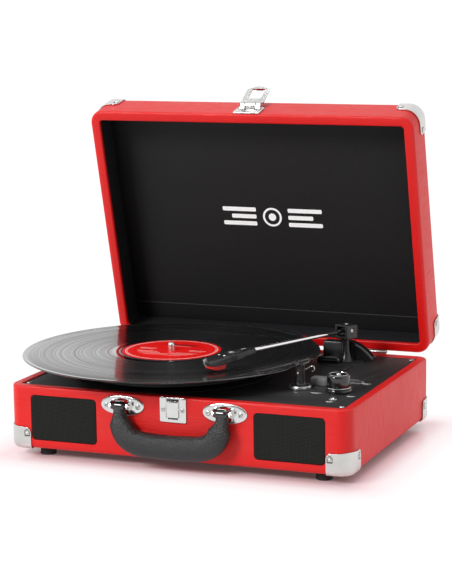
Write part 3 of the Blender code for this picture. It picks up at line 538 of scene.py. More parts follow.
def joined(*bms):
    """Several bmeshes as one."""
    out = bmesh.new()
    me = bpy.data.meshes.new("tmp")
    for b in bms:
        b.to_mesh(me)
        b.free()
        out.from_mesh(me)
    bpy.data.meshes.remove(me)
    return out


def tidy(bm, weld=True):
    if weld:
        bmesh.ops.remove_doubles(bm, verts=bm.verts, dist=0.0004)
    bmesh.ops.recalc_face_normals(bm, faces=bm.faces)
    return bm


def raw_object(bm, name, place):
    tidy(bm)
    moved(bm, MMM)
    me = bpy.data.meshes.new(name)
    bm.to_mesh(me)
    bm.free()
    ob = bpy.data.objects.new(name, me)
    scene.collection.objects.link(ob)
    ob.matrix_world = place
    return ob


def booleaned(ob, tools, place):
    """tools: (bmesh, operation). Applied at once, so that only the finished mesh is left."""
    for k, (bm, op) in enumerate(tools):
        t = raw_object(bm, f"{ob.name}_tool{k}", place)
        m = ob.modifiers.new("b", "BOOLEAN")
        m.object, m.operation, m.solver = t, op, "EXACT"
        bpy.context.view_layer.update()
        new = bpy.data.meshes.new_from_object(ob.evaluated_get(bpy.context.evaluated_depsgraph_get()))
        ob.modifiers.clear()
        old = ob.data
        ob.data = new
        bpy.data.meshes.remove(old)
        tm = t.data
        bpy.data.objects.remove(t)
        bpy.data.meshes.remove(tm)
    ob.data.name = ob.name
    return ob


def piece(name, bm, mat, body, stands_for=(), lid=False, extra=None, tools=(), bevel=0.0, segs=2, angle=35, solidify=0.0, subsurf=0, at=None):
    """A finished piece: laid out in millimetres, placed in metres, riding on its body."""
    place = LID if lid else WORLD
    if at is not None:
        place = place @ Matrix.Translation(Vector(at) * 0.001)
    if extra is not None:
        moved(bm, extra)
    ob = raw_object(bm, name, place)
    if tools:
        booleaned(ob, tools, place)
    me = ob.data
    me.materials.clear()
    for m in mat if isinstance(mat, (list, tuple)) else [mat]:
        me.materials.append(m)
    for p in me.polygons:
        p.use_smooth = True
    me.set_sharp_from_angle(angle=math.radians(angle))
    if subsurf:
        s = ob.modifiers.new("sub", "SUBSURF")
        s.levels = s.render_levels = subsurf
    if solidify:
        s = ob.modifiers.new("solid", "SOLIDIFY")
        s.thickness, s.offset = solidify * 0.001, -1
    if bevel:
        b = ob.modifiers.new("bevel", "BEVEL")
        b.width, b.segments, b.limit_method, b.angle_limit = bevel * 0.001, segs, "ANGLE", math.radians(32)
        b.harden_normals = True
    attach(ob, body)
    if stands_for:
        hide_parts(*stands_for)
    return ob


def frame_at(p, n, up=(0, 0, 1)):
    """A matrix whose z axis is n at p, for small fittings."""
    n = Vector(n).normalized()
    u = Vector(up)
    if abs(n.dot(u)) > 0.98:
        u = Vector((0, 1, 0))
    x = u.cross(n).normalized()
    y = n.cross(x)
    m = Matrix((x, y, n)).transposed().to_4x4()
    m.translation = Vector(p)
    return m


def screw(p, n, r=2.3, h=0.9, turn=20.0, n_seg=28, up=(0, 0, 1)):
    """A crosshead screw: domed head with a real cross recess cut as stepped walls."""
    prof = [(r * 0.99, -0.3), (r, 0.0), (r * 0.97, h * 0.35), (r * 0.86, h * 0.7), (r * 0.62, h * 0.95), (r * 0.30, h * 1.02)]
    head = lathe(prof, n=n_seg)
    arms = []
    for a in (0, 90):
        b = box(-r * 0.58, r * 0.58, -r * 0.13, r * 0.13, h * 0.35, h * 2)
        arms.append(moved(b, Matrix.Rotation(math.radians(a), 4, "Z")))
    return head, arms, frame_at(p, n, up) @ Matrix.Rotation(math.radians(turn), 4, "Z")


def screws(name, mat, body, places, lid=False, extra=None):
    """places: (point, normal, radius, height). One object for a set of like screws."""
    heads = []
    for p, n, r, h in places:
        head, arms, m = screw(p, n, r, h, turn=rng.uniform(0, 90))
        ob = raw_object(head, "s", Matrix.Identity(4))
        booleaned(ob, [(joined_cross(arms), "DIFFERENCE")], Matrix.Identity(4))
        bm = bmesh.new()
        bm.from_mesh(ob.data)
        me = ob.data
        bpy.data.objects.remove(ob)
        bpy.data.meshes.remove(me)
        moved(bm, Matrix.Scale(1000.0, 4))
        heads.append(moved(bm, m))
    return piece(name, joined(*heads), mat, body, lid=lid, extra=extra, angle=30)


def joined_cross(arms):
    """The two arms of a crosshead recess as one closed outline."""
    a = arms[0]
    xs = [v.co for v in a.verts]
    hx, hy = max(abs(v.x) for v in xs), max(abs(v.y) for v in xs)
    z0, z1 = min(v.z for v in xs), max(v.z for v in xs)
    for b in arms:
        b.free()
    pts = [(hx, -hy), (hx, hy), (hy, hy), (hy, hx), (-hy, hx), (-hy, hy), (-hx, hy), (-hx, -hy), (-hy, -hy), (-hy, -hx), (hy, -hx), (hy, -hy)]
    return skin([at_z([(x * 0.45, y * 0.45) for x, y in pts], z0 - 0.15), at_z(pts, z0 + 0.35), at_z(pts, z1)])


# ---------------------------------------------------------------- materials
RED = leatherette("red_leatherette")
RED_LID = leatherette("red_leatherette_lid")
GRILLE = cloth_mat("speaker_cloth")
LINER = liner_mat("lid_lining", (0.006, 0.0055, 0.006))
LINER_WALL = liner_mat("lid_wall_lining", (0.011, 0.011, 0.013))
LINER_EDGE = liner_mat("lid_lining_fold", (0.040, 0.038, 0.039))
INK_DIM = paint("grey_print", (0.30, 0.30, 0.30), 0.5)
IVORY = plastic("ivory_plastic", (0.72, 0.70, 0.64), 0.35, vary=0.08)
SPUN = metal("spun_silver", (0.80, 0.80, 0.80), 0.24, brush=(500, 500, 60), strength=0.12)
LABEL = label_mat("label_print")
PCB = plastic("circuit_board_green", (0.015, 0.12, 0.045), 0.35, vary=0.35)
DECK = plastic("deck_plastic", (0.014, 0.0135, 0.014), 0.46, pebble=1300, depth=0.00007, strength=0.30, spec=0.22)
HANDLE = plastic("handle_plastic", (0.010, 0.010, 0.0105), 0.36, pebble=880, depth=0.0007, strength=1.0, vary=0.4)
DARK = plastic("dark_plastic", (0.020, 0.020, 0.021), 0.38, pebble=1500, depth=0.00005, strength=0.25)
SELG = plastic("selector_grey", (0.19, 0.19, 0.195), 0.40, pebble=1200, depth=0.00005, strength=0.25)
VINYL_RIM = plastic("record_rim", (0.008, 0.008, 0.009), 0.10, pebble=300, depth=0.000004, strength=0.03, spec=0.6, coat=1.0)
GREY = plastic("grey_plastic", (0.062, 0.062, 0.064), 0.42, pebble=1200, depth=0.00006, strength=0.3)
SHELL = plastic("headshell_plastic", (0.012, 0.012, 0.013), 0.26, pebble=1500, depth=0.00003, strength=0.15)
GLOSS = plastic("gloss_black", (0.006, 0.006, 0.0065), 0.09, pebble=700, depth=0.00001, strength=0.05, coat=0.6)
REDPL = plastic("red_plastic", (0.70, 0.012, 0.010), 0.24, pebble=900, depth=0.00002, strength=0.1, vary=0.12)
NICKEL = metal("nickel", (0.66, 0.65, 0.635), 0.25)
CHROME = metal("chrome_plate", (0.72, 0.72, 0.71), 0.13, strength=0.05, smudge=0.07)
TUBE = metal("tube_chrome", (0.86, 0.86, 0.86), 0.10, brush=(900, 60, 900), strength=0.04, smudge=0.05)
HASP = metal("hasp_plate", (0.50, 0.50, 0.495), 0.16, strength=0.05, smudge=0.08)
STEEL = metal("screw_steel", (0.62, 0.61, 0.60), 0.30)
# near-black metal used only for the dark sheets of painted shade in slits and slots
SHADE_FILL_METAL = metal("painted_shade_metal", (0.10, 0.10, 0.105), 0.28)
ZINC = metal("zinc_can", (0.56, 0.57, 0.58), 0.38, brush=(900, 900, 40), strength=0.2)
BRASS = metal("turned_brass", (0.72, 0.52, 0.24), 0.25, brush=(50, 50, 1500))
GOLD = metal("gilt_contact", (0.85, 0.64, 0.28), 0.20)
RUBBER = rubber_mat("rubber")
FELT = felt_mat("slipmat_felt")
VINYL = vinyl_mat("record_vinyl")
PAPER_CONE = liner_mat("cone_paper", (0.035, 0.034, 0.034))
INK = paint("white_print", (0.80, 0.80, 0.80))
EMBLEM = paint("emblem_print", (1.0, 1.0, 1.0))
BOARD = board_mat("fibreboard")


# ---------------------------------------------------------------- camera, lights, floor
def place_camera():
    cam = bpy.data.cameras.new("camera")
    ob = bpy.data.objects.new("camera", cam)
    scene.collection.objects.link(ob)
    az, el, ro = math.radians(22.23), math.radians(9.82), math.radians(-0.77)
    fwd = Vector((-math.sin(az) * math.cos(el), math.cos(az) * math.cos(el), -math.sin(el)))
    right = Vector((math.cos(az), math.sin(az), 0.0))
    up = right.cross(fwd)
    r2 = right * math.cos(ro) + up * math.sin(ro)
    u2 = up * math.cos(ro) - right * math.sin(ro)
    m = Matrix((r2, u2, -fwd)).transposed().to_4x4()
    m.translation = (Vector((718.75, -1751.93, 479.4)) + C) * 0.001
    ob.matrix_world = m
    cam.sensor_width = 36.0
    cam.lens = 118.09
    cam.clip_start, cam.clip_end = 0.05, 60.0
    scene.camera = ob
    return ob


def area(name, loc, target, size, power, colour=(1, 1, 1), spread=180):
    d = bpy.data.lights.new(name, "AREA")
    d.shape = "RECTANGLE"
    d.size, d.size_y = size
    d.energy = power
    d.color = colour
    d.spread = math.radians(spread)
    ob = bpy.data.objects.new(name, d)
    scene.collection.objects.link(ob)
    ob.location = loc
    ob.rotation_euler = (Vector(target) - Vector(loc)).to_track_quat("-Z", "Y").to_euler()
    return ob


def stage():
    w = bpy.data.worlds.new("studio")
    scene.world = w
    w.use_nodes = True
    nt = w.node_tree
    bg = nt.nodes["Background"]
    bg.inputs[0].default_value = (1.0, 1.0, 1.0, 1)
    # white behind and overhead, dimmer in front where the studio is dark
    tc = nt.nodes.new("ShaderNodeTexCoord")
    sp = nt.nodes.new("ShaderNodeSeparateXYZ")
    mr = nt.nodes.new("ShaderNodeMapRange")
    nt.links.new(tc.outputs["Generated"], sp.inputs[0])
    nt.links.new(sp.outputs[1], mr.inputs[0])
    for s, v in zip(list(mr.inputs)[1:5], (-0.88, -0.22, 0.04, 1.04)):
        s.default_value = v
    nt.links.new(mr.outputs[0], bg.inputs[1])
    me = bpy.data.meshes.new("floor")
    s = 9.0
    me.from_pydata([(-s, -s, 0), (s, -s, 0), (s, s, 0), (-s, s, 0)], [], [(0, 1, 2, 3)])
    fl = bpy.data.objects.new("floor", me)
    scene.collection.objects.link(fl)
    k = Mat("floor_white", (0.90, 0.74, 0.76), 0.16, Specular_IOR_Level=0.5)
    # a white sweep: away from the case the table glows of itself, a painted light that hides the key lamp's cast shadow
    # there; near the case it takes its real shadow and reflection, with a painted pink reflection of the red case in
    # its base colour and in the colour of its glow
    v = k.sep(k.tc())
    dx = k.math("MAXIMUM", k.math("SUBTRACT", k.math("ABSOLUTE", k.math("SUBTRACT", v[0], C.x * 0.001)), W2 * 0.001 - 0.004), 0.0)
    dy = k.math("MAXIMUM", k.math("SUBTRACT", k.math("ABSOLUTE", k.math("SUBTRACT", v[1], C.y * 0.001)), D2 * 0.001 - 0.004), 0.0)
    d = k.math("SQRT", k.math("ADD", k.math("MULTIPLY", dx, dx), k.math("MULTIPLY", dy, dy)))
    painted_light_mask = k.ramp(k.range(d, 0.0, 0.08, 0.0, 1.0), [(0.0, 0.06), (0.12, 0.48), (0.36, 0.93), (1.0, 1.0)])
    painted_glow_and_reflection = k.new("ShaderNodeEmission")
    # painted pink reflection of the red case in the glow, fading to white within 70 mm of the footprint
    k.nt.links.new(k.ramp(k.range(d, 0.0, 0.07, 0.0, 1.0), [(0.0, (0.84, 0.52, 0.56)), (0.30, (0.96, 0.84, 0.86)), (0.8, (1.0, 1.0, 1.0))]), painted_glow_and_reflection.inputs[0])
    painted_glow_and_reflection.inputs[1].default_value = 1.04
    mx = k.new("ShaderNodeMixShader")
    out = k.nt.nodes["Material Output"]
    k.nt.links.new(painted_light_mask, mx.inputs[0])
    k.nt.links.new(k.b.outputs[0], mx.inputs[1])
    k.nt.links.new(painted_glow_and_reflection.outputs[0], mx.inputs[2])
    k.nt.links.new(mx.outputs[0], out.inputs[0])
    me.materials.append(k.m)
    area("key", (-1.2, -2.2, 1.6), (0.0, 0.0, 0.12), (0.9, 0.9), 66.0)
    top = area("top", (-0.30, 0.50, 2.2), (-0.05, 0.0, 0.1), (0.6, 0.4), 9.0)
    top.visible_diffuse = False
    scene.view_settings.view_transform = "Standard"
    scene.view_settings.look = "None"
    scene.view_settings.exposure = 0.0
    scene.view_settings.gamma = 1.0
    scene.cycles.max_bounces = 8


place_camera()
stage()


# ---------------------------------------------------------------- lower case
def case_ring(i, z, r=None, seg=10):
    return at_z(rrect(0, 0, W2 - i, D2 - i, (CORNER_R - i) if r is None else r, seg), z)


levels = [case_ring(5.4, B0), case_ring(3.4, B0 + 0.25), case_ring(2.0, B0 + 0.9), case_ring(1.0, B0 + 2.0), case_ring(0.35, B0 + 3.4), case_ring(0.0, B0 + 5.2)]
levels += [case_ring(0.0, B0 + 18), case_ring(0.0, B1 - 18), case_ring(0.0, B1 - 2.0), case_ring(0.15, B1 - 1.2), case_ring(0.5, B1 - 0.5), case_ring(1.1, B1 - 0.1), case_ring(1.9, B1)]
levels += [case_ring(WALL - 1.8, B1, 4.4), case_ring(WALL - 0.9, B1 - 0.15, 4.2), case_ring(WALL - 0.25, B1 - 0.6, 4.0), case_ring(WALL, B1 - 1.4, 4.0), case_ring(WALL, B0, 4.0)]
tools = []
for side in (-1, 1):
    tools.append((moved(slab(117.0 * side, 40.6, 31.0, 18.5, 3.0, 110.0, 140.0), FRONT), "DIFFERENCE"))
    tools.append((moved(slab(117.0 * side, 40.6, 35.5, 22.6, 4.4, D2 - 1.4, 140.0), FRONT), "DIFFERENCE"))
    tools.append((rod((105.0 * side - 26, HINGE_Y, HINGE_Z), (105.0 * side + 26, HINGE_Y, HINGE_Z), 3.0), "DIFFERENCE"))
for x in (-78.0, -62.0, -30.0):
    tools.append((rod((x, 112.0, 36.0), (x, 140.0, 36.0), 4.6, 32), "DIFFERENCE"))
piece("case_covering", skin(levels, closed=True), RED, "case", ["base_case"], tools=tools, angle=50)

# the covering's overlap up the middle of the back, and its turned edge under the case
piece("covering_seam_back", slab(6.0, 40.0, 9.0, 28.5, 0.6, D2 - 0.2, D2 + 0.35, 0.25), RED, "case", extra=BACK)

# ---------------------------------------------------------------- loudspeaker cloths
for side in (-1, 1):
    tag = "left" if side < 0 else "right"
    cx = 117.0 * side

    def cloth_ring(i, z):
        return at_z(rrect(cx, 40.6, 35.15 - i, 22.25 - i, max(4.1 - i * 0.5, 1.0), 8), z)

    rings = [cloth_ring(0.15, D2 - 1.2), cloth_ring(0.0, D2 - 0.5), cloth_ring(0.15, D2 - 0.05), cloth_ring(0.5, D2 + 0.22), cloth_ring(1.2, D2 + 0.36)]
    rings += [cloth_ring(i, D2 + 0.36 + 0.24 * math.sin(math.pi / 2 * i / 20.0)) for i in (4.0, 8.0, 12.0, 16.0, 20.0)]
    piece("grille_cloth_" + tag, skin(rings), GRILLE, "case", ["speaker_grille_" + tag], extra=FRONT, angle=60)


# ---------------------------------------------------------------- corner caps
def cap_column(sx, sy, lx, ly, r, n_flat=9, n_arc=12):
    """Stations round a corner: (kind, position) turned into a point for any inset."""
    st = []
    for k in range(n_flat):
        st.append(("x", lx - (lx - CORNER_R) * k / n_flat))
    for k in range(n_arc + 1):
        st.append(("a", 90 - 90 * k / n_arc))
    for k in range(1, n_flat + 1):
        st.append(("y", CORNER_R + (ly - CORNER_R) * k / n_flat))

    def point(s, i, e):
        kind, v = s
        if kind == "x":
            x, y = W2 - v, D2 - i + e
        elif kind == "y":
            x, y = W2 - i + e, D2 - v
        else:
            rr = CORNER_R - i + e
            x = W2 - CORNER_R + rr * math.cos(math.radians(v))
            y = D2 - CORNER_R + rr * math.sin(math.radians(v))
        return x * sx, y * sy

    def end_distance(s):
        kind, v = s
        return lx - v if kind == "x" else (ly - v if kind == "y" else 99.0)

    return st, point, end_distance


def corner_cap(name, sx, sy, profile, z_far, rise, body, cad, lid, up=1):
    """profile runs from the underside round the edge to the wall; z_far is the free edge's height. up is -1 where the cap hangs from a top edge."""
    st, point, dist = cap_column(sx, sy, 24.0, 27.0, CORNER_R)
    z_wall = profile[-1][1]
    cols = []
    n = len(st)
    for c, s in enumerate(st):
        d = dist(s)
        rr = 5.0
        drop = rr - math.sqrt(max(0.0, rr * rr - (rr - d) ** 2)) if d < rr else 0.0
        u = c / (n - 1)
        wave = rise * math.exp(-((u - 0.55) / 0.22) ** 2) + rise * 0.7 * math.exp(-((u - 0.95) / 0.05) ** 2)
        top = z_far + up * (wave - drop)
        col = []
        for i, z in profile:
            col.append((i, z))
        for f in (0.25, 0.5, 0.75, 0.9, 1.0):
            col.append((0.0, z_wall + (top - z_wall) * f))
        cols.append([(*point(s, i, 1.25), z) for i, z in col])
    bm = bmesh.new()
    vs = [[bm.verts.new(p) for p in col] for col in cols]
    for a, b in zip(vs, vs[1:]):
        for k in range(len(a) - 1):
            bm.faces.new((a[k], b[k], b[k + 1], a[k + 1]))
    bmesh.ops.recalc_face_normals(bm, faces=bm.faces)
    # make sure the outside faces outwards before the sheet is thickened
    f = max(bm.faces, key=lambda q: q.calc_center_median().dot(Vector((sx, sy, 0))))
    if f.normal.dot(Vector((sx, sy, 0))) < 0:
        bmesh.ops.reverse_faces(bm, faces=bm.faces)
    moved(bm, MMM)
    me = bpy.data.meshes.new(name)
    bm.to_mesh(me)
    bm.free()
    ob = bpy.data.objects.new(name, me)
    scene.collection.objects.link(ob)
    ob.matrix_world = LID if lid else WORLD
    me.materials.append(NICKEL)
    for p in me.polygons:
        p.use_smooth = True
    s = ob.modifiers.new("solid", "SOLIDIFY")
    s.thickness, s.offset = 0.0009, -1
    b = ob.modifiers.new("bevel", "BEVEL")
    b.width, b.segments, b.limit_method, b.angle_limit, b.harden_normals = 0.00022, 2, "ANGLE", math.radians(50), True
    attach(ob, body)
    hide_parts(cad)
    # a pierced nail tab on each arm of the cap; a dark sheet under each tab and along its slit, showing round them, is
    # painted shade in the gaps
    tabs, painted_shade_sheets = [], []
    zt = z_far - up * 6.0
    for p, nrm in (((sx * (W2 - 20.0), sy * (D2 + 1.25), zt), (0, sy, 0)), ((sx * (W2 + 1.25), sy * (D2 - 22.6), zt), (sx, 0, 0))):
        m = frame_at(p, nrm)
        painted_shade_sheets.append(moved(slab(0, 0, 2.9, 2.9, 0.7, -0.3, 0.05, 0.02, 3), m))
        tabs.append(moved(slab(0.35, 0.45, 2.15, 2.0, 0.6, -0.2, 0.55, 0.25, 3), m))
        tabs.append(moved(lathe([(1.25, 0.3), (1.2, 0.75), (0.9, 0.98), (0.4, 1.08)], 0.35, 0.3, 20), m))
        painted_shade_sheets.append(moved(slab(0.0, 3.9, 1.7, 0.35, 0.3, -0.3, 0.06, 0.02, 3), m))
    piece(name + "_tabs", joined(*tabs), NICKEL, body, lid=lid)
    piece(name + "_slit_painted_shade", joined(*painted_shade_sheets), SHADE_FILL_METAL, body, lid=lid)


base_prof = [(6.2, B0 - 0.95), (4.2, B0 - 0.85), (2.4, B0 - 0.35), (1.1, B0 + 0.9), (0.35, B0 + 2.6), (0.0, B0 + 5.0)]
lid_prof = [(6.2, L1 + 0.95), (4.2, L1 + 0.85), (2.4, L1 + 0.35), (1.1, L1 - 0.9), (0.35, L1 - 2.6), (0.0, L1 - 5.0)]
for sx in (-1, 1):
    for sy in (-1, 1):
        nm = ("front" if sy < 0 else "rear") + "_" + ("left" if sx < 0 else "right")
        corner_cap("cap_" + nm, sx, sy, base_prof, B0 + 21.0, 1.3, "case", "base_corner_" + nm, False)
        nm = ("top" if sy < 0 else "bottom") + "_" + ("left" if sx < 0 else "right")
        corner_cap("lid_cap_" + nm, sx, sy, lid_prof, L1 - 20.5, 1.3, "lid", "lid_corner_" + nm, True, up=-1)
        nm = ("front" if sy < 0 else "rear") + "_" + ("left" if sx < 0 else "right")
        foot = lathe(soften([(2.2, 1.6), (5.2, 1.6), (5.6, 0.05), (7.2, 0.0), (8.0, 0.8), (7.7, 4.5), (7.5, B0 - 0.35), (3.0, B0 - 0.3)], 0.4), 144.5 * sx, 110.0 * sy, 40)
        piece("rubber_foot_" + nm, foot, RUBBER, "case", ["foot_" + nm])
screws("foot_screws", STEEL, "case", [((144.5 * sx, 110.0 * sy, 1.75), (0, 0, -1), 2.4, 0.7) for sx in (-1, 1) for sy in (-1, 1)])

# ---------------------------------------------------------------- handle plates
HP_X, HP_Y, HP_Z = 53.0, -(D2 + 7.6), 61.0
for side in (-1, 1):
    tag = "left" if side < 0 else "right"
    cx = HP_X * side
    oval = []
    for k in range(72):
        a = 2 * math.pi * k / 72
        c, s = math.cos(a), math.sin(a)
        oval.append((cx + 22.6 * math.copysign(abs(c) ** 0.92, c), 60.0 + 9.8 * math.copysign(abs(s) ** 0.92, s)))

    def shrunk(i):
        return [(cx + (x - cx) * (1 - i / 22.6), 60.0 + (z - 60.0) * (1 - i / 9.8)) for x, z in oval]

    plate = skin([at_z(oval, D2 + 0.3), at_z(oval, D2 + 0.7), at_z(shrunk(0.25), D2 + 1.1), at_z(shrunk(0.8), D2 + 1.45), at_z(shrunk(1.5), D2 + 1.6)])
    arch = [(cx + 7.4, 52.6)] + [(cx + 7.4 * math.cos(math.radians(a)), 60.3 + 6.8 * math.sin(math.radians(a))) for a in range(0, 181, 12)] + [(cx - 7.4, 52.6)]
    moved(plate, FRONT)
    tools = [(moved(prism(arch, D2 - 1, D2 + 5), FRONT), "DIFFERENCE")]
    piece("escutcheon_" + tag, plate, CHROME, "case", ["handle_plate_" + tag], tools=tools, bevel=0.18, angle=30)
    # the pressed ears that carry the pin, and the lip round the arch
    ears = []
    for e in (-1, 1):
        x = cx + 8.6 * e
        ear = [(-(D2 + 0.8), 56.2), (-(D2 + 3.5), 56.4), (HP_Y, 57.4), (HP_Y - 2.5, 58.7), (HP_Y - 3.4, 61.0), (HP_Y - 2.5, 63.3), (HP_Y, 64.6), (-(D2 + 3.5), 65.6), (-(D2 + 0.8), 65.8)]
        bm = skin([[(x - 0.8, y, z) for y, z in ear], [(x + 0.8, y, z) for y, z in ear]])
        ears.append(bm)
        ears.append(rod((x + 0.6 * e, HP_Y, HP_Z), (x + 2.0 * e, HP_Y, HP_Z), 2.0, 24, 0.4))
    ears.append(rod((cx - 9.0, HP_Y, HP_Z), (cx + 9.0, HP_Y, HP_Z), 1.25, 20))
    piece("escutcheon_ears_" + tag, joined(*ears), CHROME, "case", bevel=0.2)
    lip = [(cx + 7.4, HP_Y + 6.2, 53.0)] + [(cx + 7.9 * math.cos(math.radians(a)), -(D2 + 1.7), 60.3 + 7.2 * math.sin(math.radians(a))) for a in range(0, 181, 10)] + [(cx - 7.4, HP_Y + 6.2, 53.0)]
    piece("escutcheon_lip_" + tag, sweep(lip, 0.55, 0.5, (0, -1, 0), 10, 2.2), CHROME, "case")
    screws("escutcheon_screws_" + tag, STEEL, "case", [((cx + 16.6 * e, -(D2 + 1.5), 59.6), (0, -1, 0), 2.7, 0.9) for e in (-1, 1)])

# ---------------------------------------------------------------- carrying handle
hy = HP_Y
keys = [
    (-HP_X, hy, HP_Z - 2.0, 5.4, 4.2), (-52.9, hy - 0.3, 55.0, 6.0, 5.0), (-52.7, hy - 0.7, 51.8, 6.4, 5.6), (-52.3, hy - 1.3, 48.8, 7.9, 6.2),
    (-51.6, hy - 1.9, 45.6, 9.9, 6.7), (-50.6, hy - 2.4, 42.0, 10.9, 7.0), (-45.0, hy - 3.2, 32.6, 11.6, 7.5), (-34.0, hy - 3.6, 26.8, 11.9, 7.9), (-17.0, hy - 3.6, 25.2, 11.8, 8.0), (0.0, hy - 3.6, 24.8, 11.7, 8.0),
]
keys += [(-x, y, z, w, t) for x, y, z, w, t in reversed(keys[:-1])]
path = smooth_path([k[:3] for k in keys], 6)


def spread(vals, per):
    out = []
    for a, b in zip(vals, vals[1:]):
        out += [a + (b - a) * (k / per) for k in range(per)]
    return out + [vals[-1]]


def moulded(x, y, w, t, u):
    """The grip's section: a crowned front shell, a parting groove and a slightly wider back flange."""
    f = y / t
    if f < -0.18:
        x *= 1.03
    if -0.30 < f < -0.10:
        x *= 0.93
    if f > 0:
        y *= 1.0 - 0.10 * (abs(x) / w) ** 4
    return x, y


piece(
    "grip", sweep(path, spread([k[3] for k in keys], 6), spread([k[4] for k in keys], 6), (0, -1, 0), 48, 2.7, moulded),
    HANDLE, "handle", ["handle_grip"], angle=50,
)
for side in (-1, 1):
    tag = "left" if side < 0 else "right"
    x = HP_X * side
    eye = lathe(soften([(1.6, -6.3), (3.6, -6.3), (4.6, -5.6), (4.75, -2.0), (4.75, 2.0), (4.6, 5.6), (3.6, 6.3), (1.6, 6.3)], 0.5), n=40, closed=True)
    moved(eye, Matrix.Translation((x, HP_Y, HP_Z)) @ Matrix.Rotation(math.radians(90), 4, "Y"))
    neck = sweep([(x, HP_Y, 58.5), (x, HP_Y - 0.1, 56.0), (x, HP_Y - 0.3, 53.0)], [5.6, 5.5, 5.2], [4.0, 4.0, 4.0], (0, -1, 0), 24, 3.0)
    piece("grip_eye_" + tag, eye, GLOSS, "handle")
    piece("grip_neck_" + tag, neck, DARK, "handle")

# ---------------------------------------------------------------- lower latch plate with its bridge
plate = slab(0, 59.4, 13.6, 12.2, 1.8, D2 + 0.3, D2 + 1.4, 0.28)
moved(plate, FRONT)
tools = [
    (moved(box(-6.4, 6.4, 68.4, 70.2, D2 + 0.6, D2 + 3), FRONT), "DIFFERENCE"),
    (moved(box(-5.2, 5.2, 50.2, 52.2, D2 + 0.6, D2 + 3), FRONT), "DIFFERENCE"),
]
piece("catch_plate", plate, CHROME, "case", ["latch_catch"], tools=tools, bevel=0.12, angle=30)


def bridge_ring(z, f):
    pts = []
    for k in range(17):
        a = math.pi * k / 16
        pts.append((6.7 * math.copysign(abs(math.cos(a)) ** 0.45, math.cos(a)), -(D2 + 1.2 + 2.5 * f * math.sin(a) ** 0.5), z))
    for k in range(17):
        a = math.pi - math.pi * k / 16
        pts.append((5.9 * math.copysign(abs(math.cos(a)) ** 0.45, math.cos(a)), -(D2 + 1.2 + 1.8 * f * max(math.sin(a), 0.0) ** 0.5), z))
    return pts


piece("catch_bridge", skin([bridge_ring(z, f) for z, f in ((52.3, 0.86), (53.2, 0.97), (56.0, 1.0), (61.0, 1.03), (66.0, 1.0), (68.0, 0.97), (68.7, 0.88))], closed=False), CHROME, "case", bevel=0.1, angle=40)
# dark sheets in the plate's two slots and in the hollow under the bridge: painted shade
painted_shade_sheets = joined(
    moved(slab(0, 69.4, 6.2, 0.75, 0.3, D2 + 0.35, D2 + 1.42, 0.03, 3), FRONT), moved(slab(0, 51.2, 5.0, 0.85, 0.3, D2 + 0.35, D2 + 1.42, 0.03, 3), FRONT),
    moved(slab(0, 60.5, 5.6, 8.0, 0.5, D2 + 0.4, D2 + 1.5, 0.03, 3), FRONT),
)
piece("catch_slot_painted_shade", painted_shade_sheets, SHADE_FILL_METAL, "case")
screws("catch_screws", STEEL, "case", [((10.0 * e, -(D2 + 1.35), 59.6), (0, -1, 0), 2.2, 0.7) for e in (-1, 1)])

# ---------------------------------------------------------------- motor board
deck = slab(0, 0, W2 - WALL - 0.3, D2 - WALL - 0.3, 3.7, DECK_Z - 3.0, DECK_Z, 0.5)
MX, MY = REC_X + 46.0, REC_Y + 38.0
VX, VY = 139.5, -52.9
tools = [(lathe([(6.3, 60), (6.3, 80)], REC_X, REC_Y, 32), "DIFFERENCE"), (lathe([(5.3, 60), (5.3, 80)], MX, MY, 28), "DIFFERENCE"), (lathe([(4.0, 60), (4.0, 80)], VX, VY, 28), "DIFFERENCE"),
         (slab(112.4, -29.5, 3.0, 8.0, 0.5, 60, 80, 0, 3), "DIFFERENCE"), (slab(140.2, -8.2, 5.0, 1.2, 0.3, 60, 80, 0, 3), "DIFFERENCE"), (lathe([(3.4, 60), (3.4, 80)], 144.5, -85.5, 28), "DIFFERENCE")]
piece("motor_board", deck, DECK, "case", ["deck_plate"], tools=tools, angle=40)
# raised mouldings: the trim strip, the arm's pad with its collar, the ring round the platter well and the selector's bezel
strip = slab(113.0, 78.5, 1.7, 40.0, 1.5, DECK_Z - 0.2, DECK_Z + 1.7, 0.7)
pad = lathe(soften([(9.0, DECK_Z - 0.2), (24.0, DECK_Z - 0.2), (24.0, DECK_Z + 0.6), (22.4, DECK_Z + 1.2), (17.5, DECK_Z + 1.35), (9.0, DECK_Z + 1.4)], 0.3), PIV.x - 6, PIV.y, 72)
well = lathe([(101.5, DECK_Z - 0.2), (104.0, DECK_Z - 0.2), (104.0, DECK_Z + 0.35), (103.4, DECK_Z + 0.7), (102.1, DECK_Z + 0.7), (101.5, DECK_Z + 0.35)], REC_X, REC_Y, 128, closed=True)
bezel = joined(*[slab(x, y, hx, hyy, 0.5, DECK_Z - 0.2, DECK_Z + 0.6, 0.25) for x, y, hx, hyy in ((103.2, -29.5, 0.5, 10.9), (121.6, -29.5, 0.5, 10.9), (112.4, -40.1, 9.7, 0.5), (112.4, -18.9, 9.7, 0.5))])
piece("deck_mouldings", joined(strip, pad, bezel), DARK, "case")
piece("platter_well_ring", well, DECK, "case")
screws("deck_screws", STEEL, "case", [((163.0 * sx - 0.4 * sx, 112.0 * sy, DECK_Z - 0.1), (0, 0, 1), 2.6, 0.9) for sx in (-1, 1) for sy in (-1, 1)])
# ---------------------------------------------------------------- lid, laid out shut and placed open
def lid_ring(i, z, r=None, seg=10):
    return at_z(rrect(0, 0, W2 - i, D2 - i, (CORNER_R - i) if r is None else r, seg), z)


